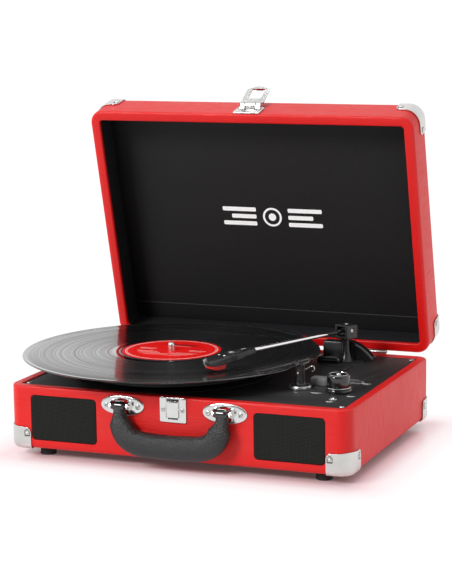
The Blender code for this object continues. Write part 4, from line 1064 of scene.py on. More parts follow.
levels = [lid_ring(LID_WALL, L1 - 3.0, 5.0), lid_ring(LID_WALL, L0 + 4.7, 5.0), lid_ring(LID_WALL + 0.8, L0 + 4.4, 4.8), lid_ring(LID_LIP - 0.5, L0 + 4.2, 4.2), lid_ring(LID_LIP, L0 + 3.6, 4.0)]
levels += [lid_ring(LID_LIP, L0 + 1.2, 4.0), lid_ring(LID_LIP - 0.25, L0 + 0.55, 4.0), lid_ring(LID_LIP - 0.8, L0 + 0.15, 4.0), lid_ring(LID_LIP - 1.5, L0, 4.2)]
levels += [lid_ring(3.4, L0), lid_ring(2.2, L0 + 0.12), lid_ring(1.2, L0 + 0.5), lid_ring(0.45, L0 + 1.2), lid_ring(0.08, L0 + 2.1), lid_ring(0.0, L0 + 3.2)]
levels += [lid_ring(0.0, L1 - 18), lid_ring(0.0, L1 - 6.5), lid_ring(0.25, L1 - 4.4), lid_ring(0.9, L1 - 2.7), lid_ring(2.0, L1 - 1.3), lid_ring(3.4, L1 - 0.4), lid_ring(5.2, L1), lid_ring(40.0, L1, 6.0), lid_ring(110.0, L1, 6.0)]
tools = [(rod((105.0 * side - 26, HINGE_Y, HINGE_Z), (105.0 * side + 26, HINGE_Y, HINGE_Z), 3.0), "DIFFERENCE") for side in (-1, 1)]
piece("lid_covering", skin(levels), RED_LID, "lid", ["lid_shell"], lid=True, tools=tools, angle=50)

# black lining: a card panel pressed into the top and a strip round the walls, their turned edges showing
LW = LID_WALL + 0.35
panel = skin([lid_ring(LW + i, z, max(4.6 - i, 1.0)) for i, z in ((0.2, L1 - 3.1), (0.0, L1 - 3.5), (0.0, L1 - 4.5), (0.35, L1 - 4.9), (1.0, L1 - 5.05), (9.0, L1 - 5.0), (30.0, L1 - 4.95))])
piece("lid_lining", panel, LINER, "lid", ["lid_liner"], lid=True, angle=50)
wall = skin([lid_ring(LW - 0.2, L1 - 3.6, 4.8), lid_ring(LW + 0.35, L1 - 5.2, 4.5), lid_ring(LW + 0.35, L0 + 6.0, 4.5), lid_ring(LW + 0.1, L0 + 5.2, 4.7), lid_ring(LW - 0.2, L0 + 5.4, 4.8)], closed=True)
piece("lid_wall_lining", wall, LINER_WALL, "lid", lid=True, angle=50)
# the scored fold across the panel, beside the hinges
fold = joined(*[sweep([(-W2 + 9, y, L1 - 4.92), (W2 - 9, y, L1 - 4.92)], 0.55, 0.22, (0, 0, 1), 10) for y in (105.5,)])
piece("lid_lining_fold", fold, LINER_EDGE, "lid", lid=True)
# plain decoration printed on the lining: a small disc in a ring between two groups of bars
zc = L1 - 5.06
deco = [lathe([(8.4, zc - 0.02), (10.6, zc - 0.02), (10.6, zc + 0.1), (8.4, zc + 0.1)], 3.0, -2.0, 56, closed=True), lathe([(0.4, zc + 0.1), (4.2, zc + 0.1), (4.2, zc - 0.02), (0.4, zc - 0.02)], 3.0, -2.0, 40)]
for e in (-1, 1):
    for k, (w, h) in enumerate(((19.0, 2.3), (14.0, 2.3), (19.0, 2.3))):
        deco.append(slab(3.0 + e * (18.0 + w), -2.0 + 8.0 * (k - 1), w, h, 1.2, zc - 0.02, zc + 0.1, 0, 3))
piece("lid_decoration", joined(*deco), EMBLEM, "lid", lid=True)

# the covering's turned seam along the back of the lid
piece("covering_seam_lid", slab(6.0, 92.5, 9.0, 18.5, 0.6, D2 - 0.2, D2 + 0.35, 0.25), RED_LID, "lid", lid=True, extra=BACK)

# ---------------------------------------------------------------- upper latch plate and hasp
HS_Y, HS_Z = -(D2 + 4.3), L0 + 17.5
HASP_OPEN = 163.0
plate = moved(slab(0, L0 + 9.4, 14.6, 8.8, 1.8, D2 + 0.3, D2 + 1.4, 0.28), FRONT)
tools = [(moved(slab(0, L0 + 5.4, 5.4, 1.5, 0.6, D2 + 0.7, D2 + 3, 0, 4), FRONT), "DIFFERENCE")]
piece("latch_plate_visual", plate, CHROME, "lid", ["latch_plate"], lid=True, tools=tools, bevel=0.12, angle=30)
ears = []
for e in (-1, 1):
    x0, x1 = 8.6 * e - 2.2, 8.6 * e + 2.2
    ear = [(-(D2 + 0.6), HS_Z - 4.6), (-(D2 + 2.2), HS_Z - 3.9), (HS_Y + 0.6, HS_Z - 2.4), (HS_Y - 1.2, HS_Z - 1.8), (HS_Y - 2.0, HS_Z - 0.9), (HS_Y - 2.2, HS_Z), (HS_Y - 2.0, HS_Z + 0.9), (HS_Y - 1.2, HS_Z + 1.8), (HS_Y + 0.6, HS_Z + 2.3), (-(D2 + 0.6), HS_Z + 2.3)]
    ears.append(skin([[(x0, y, z) for y, z in ear], [(x1, y, z) for y, z in ear]]))
    ears.append(rod((8.6 * e + 1.6 * e, HS_Y, HS_Z), (8.6 * e + 2.9 * e, HS_Y, HS_Z), 1.5, 20, 0.4))
piece("latch_ears", joined(*ears), HASP, "lid", lid=True, bevel=0.25)
screws("latch_plate_screws", STEEL, "lid", [((10.6 * e, -(D2 + 1.35), L0 + 6.2), (0, -1, 0), 2.1, 0.7) for e in (-1, 1)], lid=True)

HASP_M = Matrix.Translation((0, HS_Y, HS_Z)) @ Matrix.Rotation(math.radians(-HASP_OPEN), 4, "X") @ Matrix.Translation((0, -HS_Y, -HS_Z))
hz0 = HS_Z - 32.0
left = [(5.7, HS_Z + 2.1), (5.7, HS_Z - 3.0), (6.3, HS_Z - 3.5), (11.2, HS_Z - 3.6), (12.1, HS_Z - 4.0), (12.4, HS_Z - 4.9), (12.4, hz0 + 7.6), (12.0, hz0 + 5.4), (10.6, hz0 + 3.6), (8.6, hz0 + 2.6), (6.6, hz0 + 2.1), (5.4, hz0 + 1.2), (4.6, hz0 + 0.4), (3.4, hz0)]
outline = left + [(-x, z) for x, z in reversed(left)]
hasp = skin([at_z(outline, -HS_Y + 0.0), at_z(outline, -HS_Y + 1.15)])
hasp = joined(moved(hasp, FRONT))
window = moved(slab(0, HS_Z - 19.5, 7.2, 8.6, 1.3, -HS_Y - 4, -HS_Y + 5, 0, 6), FRONT)
tools = [(moved(rod((-5.7, HS_Y, HS_Z), (5.7, HS_Y, HS_Z), 2.35, 32, 0.3), HASP_M), "UNION"), (moved(window, HASP_M), "DIFFERENCE")]
piece("hasp_visual", hasp, HASP, "hasp", ["latch_hasp"], lid=True, extra=HASP_M, tools=tools, bevel=0.2, angle=32)
frame_lip = [(7.9, HS_Z - 28.1), (7.9, HS_Z - 10.9), (-7.9, HS_Z - 10.9), (-7.9, HS_Z - 28.1)]
rim = skin([at_z(rrect(0, HS_Z - 19.5, 7.2 + i, 8.6 + i, 1.3 + i, 6), z) for i, z in ((0.05, -HS_Y + 1.0), (0.05, -HS_Y + 1.7), (0.35, -HS_Y + 1.95), (0.9, -HS_Y + 1.9), (1.35, -HS_Y + 1.35), (1.45, -HS_Y + 1.0))], closed=True)
piece("hasp_window_lip", moved(rim, FRONT), HASP, "hasp", lid=True, extra=HASP_M)
tab = skin([at_z(rrect(0, hz0 + 1.9, hx, hy, r, 6), z) for hx, hy, r, z in ((5.0, 1.7, 1.4, -HS_Y + 0.9), (4.8, 1.7, 1.4, -HS_Y + 2.2), (4.2, 1.4, 1.2, -HS_Y + 3.0), (3.0, 0.8, 0.7, -HS_Y + 3.3))])
piece("hasp_finger_tab", moved(tab, FRONT), HASP, "hasp", lid=True, extra=HASP_M)
piece("hasp_pin", moved(rod((-10.9, HS_Y, HS_Z), (10.9, HS_Y, HS_Z), 0.95, 20, 0.25), HASP_M), STEEL, "hasp", lid=True)

# ---------------------------------------------------------------- hinges on the back
for side in (-1, 1):
    tag = "left" if side < 0 else "right"
    cx = 105.0 * side
    back = D2 + 0.3
    leaf = moved(slab(cx, 58.5, 25.0, 10.5, 1.6, back, back + 1.1, 0.25), BACK)
    tools = [(box(cx - 7.7, cx + 7.7, back, back + 1.1, 68.0, 71.4), "UNION"), (rod((cx - 7.7, HINGE_Y, HINGE_Z), (cx + 7.7, HINGE_Y, HINGE_Z), 2.2, 32, 0.25), "UNION")]
    piece("hinge_base_" + tag, leaf, NICKEL, "case", ["hinge_leaf_base_" + tag], tools=tools, bevel=0.15, angle=32)
    leaf = moved(slab(cx, 87.5, 25.0, 10.5, 1.6, back, back + 1.1, 0.25), BACK)
    tools = []
    for x0, x1 in ((cx - 25, cx - 8), (cx + 8, cx + 25)):
        tools += [(box(x0, x1, back, back + 1.1, 74.4, 78.0), "UNION"), (rod((x0, HINGE_Y, HINGE_Z), (x1, HINGE_Y, HINGE_Z), 2.2, 32, 0.25), "UNION")]
    piece("hinge_lid_" + tag, leaf, NICKEL, "lid", ["hinge_leaf_lid_" + tag], lid=True, tools=tools, bevel=0.15, angle=32)
    ends = joined(*[rod((cx + 25.0 * e - 0.1 * e, HINGE_Y, HINGE_Z), (cx + 25.7 * e, HINGE_Y, HINGE_Z), 1.2, 20, 0.3) for e in (-1, 1)])
    piece("hinge_pin_" + tag, ends, STEEL, "case")
    screws("hinge_base_screws_" + tag, STEEL, "case", [((cx + dx, back + 1.05, z), (0, 1, 0), 2.4, 0.8) for dx, z in ((-18, 54), (0, 61), (18, 54))])
    screws("hinge_lid_screws_" + tag, STEEL, "lid", [((cx + dx, back + 1.05, z), (0, 1, 0), 2.4, 0.8) for dx, z in ((-18, 92), (0, 85), (18, 92))], lid=True)
# ---------------------------------------------------------------- platter, slipmat, record
PT = REC_TOP - REC_T - 0.3
AXIS = (REC_X, REC_Y, 0.0)
prof = [(3.9, 72.6), (11.5, 72.6), (11.5, 83.6), (49.0, 83.6), (49.0, 74.6), (52.0, 74.6), (52.0, 83.6), (PLATTER_R - 9.0, 83.6), (PLATTER_R - 9.0, 74.8), (PLATTER_R - 0.7, 74.6), (PLATTER_R - 0.1, 75.2)]
for k in range(5):
    z = 76.6 + 2.0 * k
    prof += [(PLATTER_R - 0.1, z - 0.35), (PLATTER_R - 0.6, z), (PLATTER_R - 0.6, z + 0.25), (PLATTER_R - 0.1, z + 0.6)]
prof += [(PLATTER_R, PT - 2.6), (PLATTER_R - 0.3, PT - 1.9), (PLATTER_R - 0.9, PT - 1.5), (3.9, PT - 1.5)]
piece("platter_visual", lathe(prof, n=160, closed=True), DARK, "turntable", ["platter"], at=AXIS, angle=30)
piece("slipmat_visual", lathe([(3.9, PT - 1.3), (PLATTER_R - 1.8, PT - 1.3), (PLATTER_R - 1.2, PT - 0.9), (PLATTER_R - 1.2, PT - 0.35), (PLATTER_R - 1.8, PT), (52.0, PT), (3.9, PT)], n=128, closed=True), FELT, "turntable", ["slipmat"], at=AXIS, angle=30)
T = REC_TOP
rec = [(3.8, T - REC_T + 0.1), (REC_R - 3.4, T - REC_T + 0.1), (REC_R - 3.4, T - 0.5), (REC_R - 3.8, T - 0.32), (130.0, T - 0.32), (110.0, T - 0.32), (90.0, T - 0.32), (72.0, T - 0.32), (61.0, T - 0.32), (60.2, T - 0.30), (LABEL_R + 3.4, T - 0.30), (LABEL_R + 2.2, T - 0.06), (LABEL_R + 0.9, T - 0.04), (LABEL_R + 0.3, T - 0.12), (3.8, T - 0.12)]
piece("record_visual", lathe(rec, n=288, closed=True), VINYL, "turntable", ["record"], at=AXIS, angle=25)
bead = [(REC_R - 4.2, T - REC_T), (REC_R - 1.4, T - REC_T), (REC_R - 0.6, T - REC_T + 0.22), (REC_R - 0.12, T - REC_T + 0.6), (REC_R, T - 0.95), (REC_R - 0.12, T - 0.45), (REC_R - 0.6, T - 0.1), (REC_R - 1.3, T), (REC_R - 2.2, T - 0.05), (REC_R - 3.2, T - 0.26), (REC_R - 4.2, T - 0.31)]
piece("record_bead", lathe(bead, n=288, closed=True), VINYL_RIM, "turntable", at=AXIS, angle=25)
run = [(LABEL_R + 3.2, T - 0.9), (60.4, T - 0.9), (60.4, T - 0.29), (60.1, T - 0.26), (LABEL_R + 3.5, T - 0.26), (LABEL_R + 3.2, T - 0.29)]
piece("record_runout", lathe(run, n=192, closed=True), VINYL_RIM, "turntable", at=AXIS, angle=25)
lab = [(3.8, T - 0.05), (LABEL_R, T - 0.05), (LABEL_R, T + 0.10), (LABEL_R - 0.3, T + 0.14), (37.0, T + 0.14), (36.6, T + 0.06), (35.6, T + 0.06), (35.2, T + 0.14), (4.6, T + 0.14), (3.8, T + 0.08)]
piece("label_visual", lathe(lab, n=144, closed=True), LABEL, "turntable", ["record_label"], at=AXIS, angle=25)
piece("spindle_visual", lathe(soften([(3.0, 19.0), (3.1, 19.6), (3.1, 73.0), (3.6, 73.0), (3.6, PT - 0.2), (3.45, PT + 0.1), (3.45, T + 4.4), (3.42, T + 5.6), (3.15, T + 6.7), (2.5, T + 7.6), (1.5, T + 8.05), (0.5, T + 8.2)], 0.15), n=48), SPUN, "turntable", ["spindle"], at=AXIS, angle=30)

# ---------------------------------------------------------------- tone arm
ARM_M = Matrix.Translation(PIV) @ Matrix.Rotation(math.radians(-ARM_DEG), 4, "Z")
col = [(2.6, DECK_Z + 1.5), (7.8, DECK_Z + 1.5), (7.8, DECK_Z + 2.2), (7.3, DECK_Z + 2.8), (6.0, DECK_Z + 4.6), (5.0, DECK_Z + 6.9), (4.2, DECK_Z + 9.5), (3.6, DECK_Z + 12.0), (3.2, DECK_Z + 15.0), (3.0, 90.0), (3.0, 94.9), (2.7, 95.2), (1.4, 95.2)]
house = slab(PIV.x - 13.0, PIV.y + 2.5, 11.0, 7.0, 2.2, DECK_Z + 1.3, 92.6, 1.0, 8)
wedge = []
for x, z, y0, y1 in ((PIV.x - 6.0, 91.6, 86.0, 99.0), (PIV.x + 4.0, 90.4, 86.4, 99.4), (PIV.x + 12.0, 86.4, 87.4, 100.2), (PIV.x + 19.0, 80.4, 89.0, 101.0), (PIV.x + 24.0, 74.6, 90.6, 101.6)):
    wedge.append([(x, y0, DECK_Z + 0.2), (x, y0 + 0.6, z - 2.0), (x, y0 + 2.2, z), (x, y1 - 2.0, z), (x, y1 - 0.4, z - 2.0), (x, y1, DECK_Z + 0.2)])
piece("arm_housing_tail", skin(wedge), GLOSS, "case", bevel=0.4, angle=25)
foot = slab(PIV.x - 15.0, PIV.y - 7.0, 12.0, 9.0, 3.0, DECK_Z + 0.8, DECK_Z + 7.5, 2.4, 8)
piece("arm_housing_foot", foot, GLOSS, "case", bevel=0.2, angle=40)
piece("arm_housing", house, SHELL, "case", bevel=0.2, angle=40)
piece("arm_column", lathe(col, PIV.x, PIV.y, 56), SHELL, "case", ["tonearm_base"], angle=28)
yoke = rbox(-8.4, 8.4, -8.2, 8.2, -8.6, 6.4, 1.2, 3)
tools = [(moved(rbox(-5.3, 5.3, -12.0, 12.0, -5.7, 4.7, 0.6, 2), ARM_M), "DIFFERENCE"), (moved(rod((-9.2, 0, 0), (-7.9, 0, 0), 3.0, 32), ARM_M), "DIFFERENCE"), (moved(rod((9.2, 0, 0), (7.9, 0, 0), 3.0, 32), ARM_M), "DIFFERENCE")]
piece("yoke_visual", yoke, SHELL, "arm_yoke", ["tonearm_yoke"], extra=ARM_M, tools=tools, bevel=0.25, angle=30)
screws("yoke_pivot_screws", STEEL, "arm_yoke", [((7.9 * e, 0, 0), (e, 0, 0), 2.6, 0.85) for e in (-1, 1)], extra=ARM_M)
screws("yoke_top_screw", STEEL, "arm_yoke", [((0, 0.8, 6.35), (0, 0, 1), 2.2, 0.7)], extra=ARM_M)
blk = joined(rbox(-4.6, 4.6, -3.4, 3.4, -3.0, 3.0, 0.7, 3), rod((-5.2, 0, 0), (5.2, 0, 0), 1.4, 20), lathe([(0.6, 2.9), (1.9, 2.9), (1.9, 3.4), (1.5, 3.6), (0.6, 3.6)], n=28))
piece("bearing_block_visual", blk, DARK, "arm", ["tonearm_bearing_block"], extra=ARM_M, angle=30)
stub = [[(x, y, z) for x, z in circle(0, 0, r, 28)] for y, r in ((3.2, 2.0), (9.4, 2.0), (9.5, 3.2), (12.6, 3.4), (13.4, 3.0), (13.7, 2.2))]
plate = rbox(-3.8, 3.8, 13.4, 14.5, -3.8, 2.4, 0.4, 2)
piece("arm_rear_stub", joined(skin(stub), plate), SHELL, "arm", extra=ARM_M, angle=30)
collar = skin([[(x, y, z) for x, z in circle(0, 0, r, 36)] for y, r in ((-3.3, 1.8), (-3.7, 2.0), (-12.0, 2.0), (-12.1, 1.8), (-12.6, 1.8), (-12.7, 2.0), (-28.0, 2.0), (-29.6, 1.95), (-30.3, 1.8))])
piece("arm_collar_visual", collar, SHELL, "arm", ["tonearm_collar"], extra=ARM_M, angle=30)
tube = skin([[(x, y, z) for x, z in circle(0, 0, r, 48)] for y, r in ((-30.4, 2.15), (-30.9, 2.3), (-45.0, 2.3), (-75.0, 2.3), (-110.0, 2.3), (-134.3, 2.3), (-134.8, 2.1))])
piece("arm_tube_visual", tube, TUBE, "arm", ["tonearm_tube"], extra=ARM_M, angle=30)
SHELL_M = ARM_M @ Matrix.Translation((0, -134.5, 0))
secs = []
for y, hw, top, bot in ((-0.6, 2.6, 2.4, -2.4), (-2.2, 3.2, 2.8, -2.8), (-4.0, 3.6, 3.0, -3.0), (-12.0, 4.4, 3.2, -3.4), (-18.0, 5.8, 3.05, -3.8), (-24.0, 7.4, 2.8, -4.2), (-29.0, 8.3, 2.55, -4.6), (-34.0, 8.8, 2.2, -5.0), (-44.0, 8.85, 1.45, -5.6), (-52.0, 8.8, 0.6, -6.0), (-56.5, 8.4, -0.2, -6.0), (-60.0, 7.8, -1.2, -6.0), (-62.8, 6.7, -2.2, -6.0), (-64.6, 5.6, -3.0, -5.6)):
    c = min(1.3, (top - bot) * 0.3)
    secs.append([(hw, y, bot + 0.5), (hw, y, top - c - 0.25), (hw - 0.25, y, top - c + 0.2), (hw - c - 0.2, y, top - 0.1), (hw - c - 0.8, y, top), (0, y, top + 0.12), (-hw + c + 0.8, y, top), (-hw + c + 0.2, y, top - 0.1), (-hw + 0.25, y, top - c + 0.2), (-hw, y, top - c - 0.25), (-hw, y, bot + 0.5), (-hw + 0.5, y, bot), (0, y, bot), (hw - 0.5, y, bot)])
tools = [(moved(box(-5.6, 5.6, -58.0, -38.0, -9.0, -4.4), SHELL_M), "DIFFERENCE")]
piece("headshell_visual", skin(secs), SHELL, "arm", ["tonearm_headshell"], extra=SHELL_M, tools=tools, bevel=0.12, angle=22)
marks = joined(slab(0, -30.5, 3.0, 0.32, 0.3, 2.45, 2.72, 0, 3), slab(0, -33.2, 2.2, 0.32, 0.3, 2.3, 2.55, 0, 3), slab(0, -15.0, 0.35, 3.2, 0.3, 3.15, 3.38, 0, 3))
piece("headshell_marks", marks, INK, "arm", extra=SHELL_M)
screws("headshell_screws", STEEL, "arm", [((3.6 * e, -44.5, 1.35), (0, -0.07, 1), 1.35, 0.7) for e in (-1, 1)], extra=SHELL_M)
cart = []
for y, hw, top, bot in ((-43.9, 5.3, -6.1, -8.2), (-45.0, 5.7, -6.05, -9.4), (-46.6, 6.0, -6.05, -11.0), (-50.0, 6.0, -6.05, -11.2), (-56.8, 6.0, -6.05, -11.15), (-60.0, 5.6, -6.05, -10.2), (-61.5, 5.1, -6.2, -9.0)):
    cart.append([(hw - 0.5, y, bot), (hw, y, bot + 0.5), (hw, y, top - 0.2), (hw - 0.3, y, top), (-hw + 0.3, y, top), (-hw, y, top - 0.2), (-hw, y, bot + 0.5), (-hw + 0.5, y, bot)])
piece("cartridge_visual", skin(cart), REDPL, "arm", ["cartridge"], extra=SHELL_M, bevel=0.18, angle=28)
pins = joined(*[rod((x, -41.6, -7.0), (x, -44.2, -7.0), 0.42, 12, 0.1) for x in (-3.3, -1.1, 1.1, 3.3)])
piece("cartridge_pins", pins, GOLD, "arm", extra=SHELL_M)
sty = joined(skin([[(0.9, -49.6, -11.0), (-0.9, -49.6, -11.0), (-0.9, -56.2, -11.0), (0.9, -56.2, -11.0)], [(0.9, -50.2, -11.55), (-0.9, -50.2, -11.55), (-0.9, -55.9, -11.55), (0.9, -55.9, -11.55)], [(0.35, -54.2, -12.2), (-0.35, -54.2, -12.2), (-0.35, -55.3, -12.2), (0.35, -55.3, -12.2)]]), lathe([(0.3, -12.1), (0.22, -12.45), (0.05, -12.5)], 0, -54.75, 12))
piece("stylus_visual", sty, STEEL, "arm", ["stylus"], extra=SHELL_M, bevel=0.08, angle=30)
lift_path = smooth_path([(0, -64.7, -4.9), (0, -65.5, -4.3), (0, -66.5, -2.2), (0, -67.0, -0.2), (0, -67.4, 1.6)], 5)
piece("finger_lift_visual", sweep(lift_path, 2.6, 0.45, (1, 0, 0), 20, 3.2), CHROME, "arm", ["finger_lift"], extra=SHELL_M, angle=30)

# ---------------------------------------------------------------- arm rest and its wire clip
RX, RY = 99.6, -50.5
REST_M = Matrix.Translation((RX, RY, 0)) @ Matrix.Rotation(math.radians(-1.5), 4, "Z")
post = lathe(soften([(2.0, DECK_Z + 0.3), (10.2, DECK_Z + 0.3), (10.2, DECK_Z + 3.0), (9.3, DECK_Z + 3.9), (6.2, DECK_Z + 4.7), (5.4, DECK_Z + 5.6), (5.0, DECK_Z + 8.0), (4.75, DECK_Z + 12.0), (4.7, 91.0), (4.9, 94.0), (4.9, 97.2), (4.4, 97.4), (1.0, 97.4)], 0.3), n=56)
slot_o = [(-2.7, 99.0), (-2.7, 94.6), (-2.4, 93.6), (-1.9, 92.9), (-1.0, 92.35), (0.0, 92.2), (1.0, 92.35), (1.9, 92.9), (2.4, 93.6), (2.7, 94.6), (2.7, 99.0)]
tools = [(moved(skin([[(x, -8.0, z) for x, z in slot_o], [(x, 8.0, z) for x, z in slot_o]]), REST_M), "DIFFERENCE"), (moved(rod((0, -8.0, 87.0), (0, 8.0, 87.0), 0.85, 16), REST_M), "DIFFERENCE")]
piece("arm_rest_visual", post, SHELL, "case", ["arm_rest"], extra=REST_M, tools=tools, bevel=0.25, angle=32)
band = lathe([(9.6, DECK_Z + 0.3), (10.7, DECK_Z + 0.3), (10.8, DECK_Z + 1.0), (10.75, DECK_Z + 2.8), (10.2, DECK_Z + 3.6), (9.6, DECK_Z + 3.7)], RX, RY, 56, closed=True)
piece("arm_rest_band", band, STEEL, "case")
clip = smooth_path([(0, -5.8, 87.0), (0, 0, 87.0), (0, 5.4, 87.0), (0.5, 6.9, 87.05), (1.9, 7.5, 87.5), (5.0, 7.6, 89.2), (8.2, 7.6, 91.4), (10.4, 7.6, 91.6), (11.7, 7.6, 90.2), (11.5, 7.6, 87.8), (9.4, 7.6, 86.6)], 6)
piece("clip_visual", joined(sweep(clip, 0.6, 0.6, (0.3, 0, 1), 14), rod((0, -6.5, 87.0), (0, -5.5, 87.0), 0.95, 16, 0.2)), CHROME, "rest_clip", ["arm_rest_clip"], extra=REST_M, angle=40)
# ---------------------------------------------------------------- controls on the motor board
VX, VY = 139.5, -52.9
Z = DECK_Z
knob = [(3.0, Z + 0.3), (12.3, Z + 0.3), (12.75, Z + 0.7), (12.8, Z + 1.4), (12.7, Z + 3.0), (12.4, Z + 3.5), (11.6, Z + 3.7), (11.2, Z + 4.1), (11.2, Z + 5.2), (11.25, Z + 5.6), (11.2, Z + 15.2), (11.0, Z + 16.2), (10.5, Z + 16.9), (9.9, Z + 17.2), (9.2, Z + 17.2), (3.0, Z + 17.1)]


def ribbed(profile, cx, cy, n, lo, hi, depth, count):
    """A turned body whose side between two heights carries fine upright flutes."""
    rings = []
    for r, z in profile:
        ring = []
        for k in range(n):
            a = 2 * math.pi * k / n
            rr = r - (depth * (0.5 - 0.5 * math.cos(count * a)) if lo <= z <= hi else 0.0)
            ring.append((cx + rr * math.cos(a), cy + rr * math.sin(a), z))
        rings.append(ring)
    return skin(rings)


piece("volume_knob_visual", ribbed(knob, VX, VY, 144, Z + 5.5, Z + 15.3, 0.02, 36), GLOSS, "volume", ["volume_knob"], angle=28)
piece("volume_knob_ring", lathe([(11.0, Z + 4.1), (11.85, Z + 4.1), (12.0, Z + 4.4), (12.0, Z + 5.0), (11.8, Z + 5.3), (11.0, Z + 5.3)], VX, VY, 96, closed=True), CHROME, "volume", angle=30)
cap_prof = [(0.5, Z + 17.0), (8.8, Z + 17.0), (9.2, Z + 17.25), (9.1, Z + 17.5), (8.5, Z + 17.58), (6.5, Z + 17.42), (3.0, Z + 17.36), (2.2, Z + 17.4), (1.9, Z + 17.95), (1.2, Z + 18.2), (0.4, Z + 18.25)]
piece("volume_knob_cap", lathe(cap_prof, VX, VY, 96), GLOSS, "volume", angle=40)
piece("volume_knob_cap_ring", lathe([(8.7, Z + 17.3), (9.35, Z + 17.2), (9.5, Z + 17.45), (9.3, Z + 17.7), (8.9, Z + 17.75)], VX, VY, 96, closed=True), CHROME, "volume", angle=40)
piece("volume_knob_nub", lathe([(0.4, Z + 17.3), (2.3, Z + 17.3), (2.2, Z + 17.9), (1.7, Z + 18.35), (0.5, Z + 18.5)], VX, VY, 40), CHROME, "volume", angle=40)
piece("volume_knob_pointer", slab(VX - 6.6, VY - 4.6, 1.2, 1.2, 1.15, Z + 17.3, Z + 17.9, 0.3), GLOSS, "volume")

sel = slab(112.4, -29.5, 8.0, 6.2, 1.1, Z + 0.3, Z + 7.8, 0.6, 5)
tools = [(box(100.0, 125.0, -33.5 + 4.0 * k - 0.75, -33.5 + 4.0 * k + 0.75, Z + 6.5, Z + 9.0), "DIFFERENCE") for k in range(3)]
tools.append((box(110.1, 114.7, -32.5, -26.5, 66.4, Z + 1.0), "UNION"))
piece("selector_visual", sel, SELG, "selector", ["speed_selector"], tools=tools, bevel=0.18, angle=30)
piece("selector_mark", slab(112.4, -31.5, 0.35, 1.05, 0.2, Z + 7.7, Z + 7.86, 0, 3), INK, "selector")

au = slab(140.2, -8.2, 5.0, 2.4, 0.8, Z + 0.3, Z + 3.0, 0.45, 5)
piece("auto_stop_visual", au, GREY, "auto_stop", ["auto_stop_switch"], tools=[(box(138.8, 141.6, -9.0, -7.4, 66.6, Z + 1.0), "UNION"), (moved(slab(140.2, -8.2, 3.6, 0.5, 0.4, Z + 2.5, Z + 4.0, 0, 4), Matrix.Identity(4)), "DIFFERENCE")], bevel=0.12, angle=30)
surround = skin([at_z(rrect(140.2, -8.2, 9.2 + i, 3.4 + i, 1.2 + i, 6), z) for i, z in ((0.0, Z - 0.3), (0.0, Z + 0.3), (0.15, Z + 0.5), (0.55, Z + 0.5), (0.7, Z + 0.3), (0.7, Z - 0.3))], closed=True)
piece("auto_stop_surround", surround, CHROME, "case")
piece("jack_visual", lathe([(1.9, 60.0), (1.9, Z + 0.35), (2.1, Z + 0.75), (2.7, Z + 1.05), (3.7, Z + 1.0), (4.15, Z + 0.75), (4.3, Z + 0.35), (4.3, Z + 0.3), (3.1, Z + 0.3), (3.1, 60.0)], 144.5, -85.5, 48, closed=True), CHROME, "case", ["headphone_jack"], angle=40)
piece("jack_throat", lathe([(0.6, 62.0), (1.85, 62.0), (1.85, Z - 1.0), (1.4, Z - 1.6), (0.6, Z - 1.8)], 144.5, -85.5, 32), GLOSS, "case")
# printed marks on the board: plain strokes beside the controls
strokes = [slab(cx, cy, hx, hy, min(hx, hy) * 0.9, Z - 0.05, Z + 0.06, 0, 4) for cx, cy, hx, hy in (
    (120.2, -63.5, 5.6, 0.55), (120.2, -66.0, 3.4, 0.45), (156.5, -66.9, 4.2, 0.5), (156.5, -69.3, 2.8, 0.4), (153.7, -10.6, 4.6, 0.5), (153.7, -13.0, 3.0, 0.4), (144.5, -94.2, 3.6, 0.5), (144.5, -96.4, 2.4, 0.4),
) if hy]
piece("board_print", joined(*strokes), INK, "case")

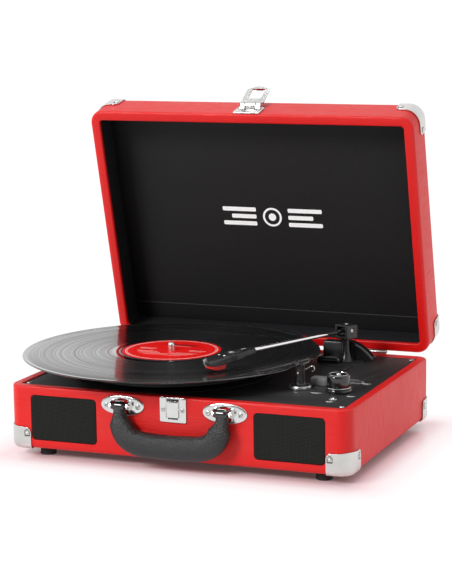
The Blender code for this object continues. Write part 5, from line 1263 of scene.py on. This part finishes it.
# ---------------------------------------------------------------- rear sockets
REAR = Matrix.Translation((0, D2 - 11.7, 0)) @ BACK
sockets, inserts, pins = [], [], []
for x, nm in ((-78.0, "left"), (-62.0, "right")):
    prof = [(2.0, 0.4), (4.2, 0.4), (4.2, 11.8), (5.9, 11.95), (6.3, 12.3), (6.4, 12.9), (6.1, 13.5), (4.5, 13.6), (4.15, 13.9), (4.1, 19.5), (3.8, 20.0), (2.6, 20.0), (2.45, 19.6), (2.4, 12.0), (2.0, 0.4)]
    piece("phono_socket_" + nm, lathe(prof[:-1], x, 36.0, 48, closed=True), GOLD, "case", ["rca_jack_" + nm], extra=REAR, angle=28)
    ring = lathe([(4.3, 13.5), (6.6, 13.5), (6.9, 13.8), (6.8, 14.2), (4.3, 14.3)], x, 36.0, 40, closed=True)
    piece("phono_ring_" + nm, ring, REDPL if nm == "right" else IVORY, "case", extra=REAR)
    piece("phono_insulator_" + nm, lathe([(0.9, 14.0), (2.42, 14.0), (2.42, 16.5), (0.9, 16.5)], x, 36.0, 32), IVORY, "case", extra=REAR)
prof = [(1.1, -4.0), (4.2, -4.0), (4.2, 12.0), (6.7, 12.0), (7.0, 12.3), (7.0, 13.0), (6.6, 13.4), (3.3, 13.4), (3.0, 13.1), (3.0, 1.0), (1.1, 1.0)]
piece("dc_inlet_visual", lathe(prof, -30.0, 36.0, 48), DARK, "case", ["dc_inlet"], extra=REAR, angle=28)
piece("dc_inlet_pin", lathe([(0.3, 0.8), (1.0, 0.8), (1.0, 11.2), (0.75, 11.8), (0.3, 12.0)], -30.0, 36.0, 24), GOLD, "case", extra=REAR)

# ---------------------------------------------------------------- underside and the works inside
lo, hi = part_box("base_bottom_panel")
screws("bottom_panel_screws", STEEL, "case", [((x, y, lo.z * 1000 + 0.05), (0, 0, -1), 2.6, 0.8) for x in (-150.0, 0.0, 150.0) for y in (-92.0, 92.0)])
# vent slots drawn as dark felt patches on the closed panel: painted shade where the openings would show the dark inside
vent_shade_patches = []
for k in range(9):
    vent_shade_patches.append(slab(-36.0 + 9.0 * k, 0.0, 1.6, 20.0, 1.5, lo.z * 1000 - 0.12, lo.z * 1000 + 0.2, 0, 4))
piece("bottom_vent_painted_shade", joined(*vent_shade_patches), FELT, "case")


def finish_of(names, mat):
    """The material of a CAD node whose shape stays."""
    for n in names:
        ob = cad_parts[n]
        ob.data.materials.clear()
        ob.data.materials.append(mat)
        for p in ob.data.polygons:
            p.material_index = 0


finish_of(["base_bottom_panel"], BOARD)
finish_of(["speaker_driver_left", "speaker_driver_right"], PAPER_CONE)
finish_of(["circuit_board"], PCB)
finish_of(["motor", "volume_pot"], ZINC)
finish_of(["motor_pulley", "platter_bearing"], BRASS)
finish_of(["drive_belt"], RUBBER)
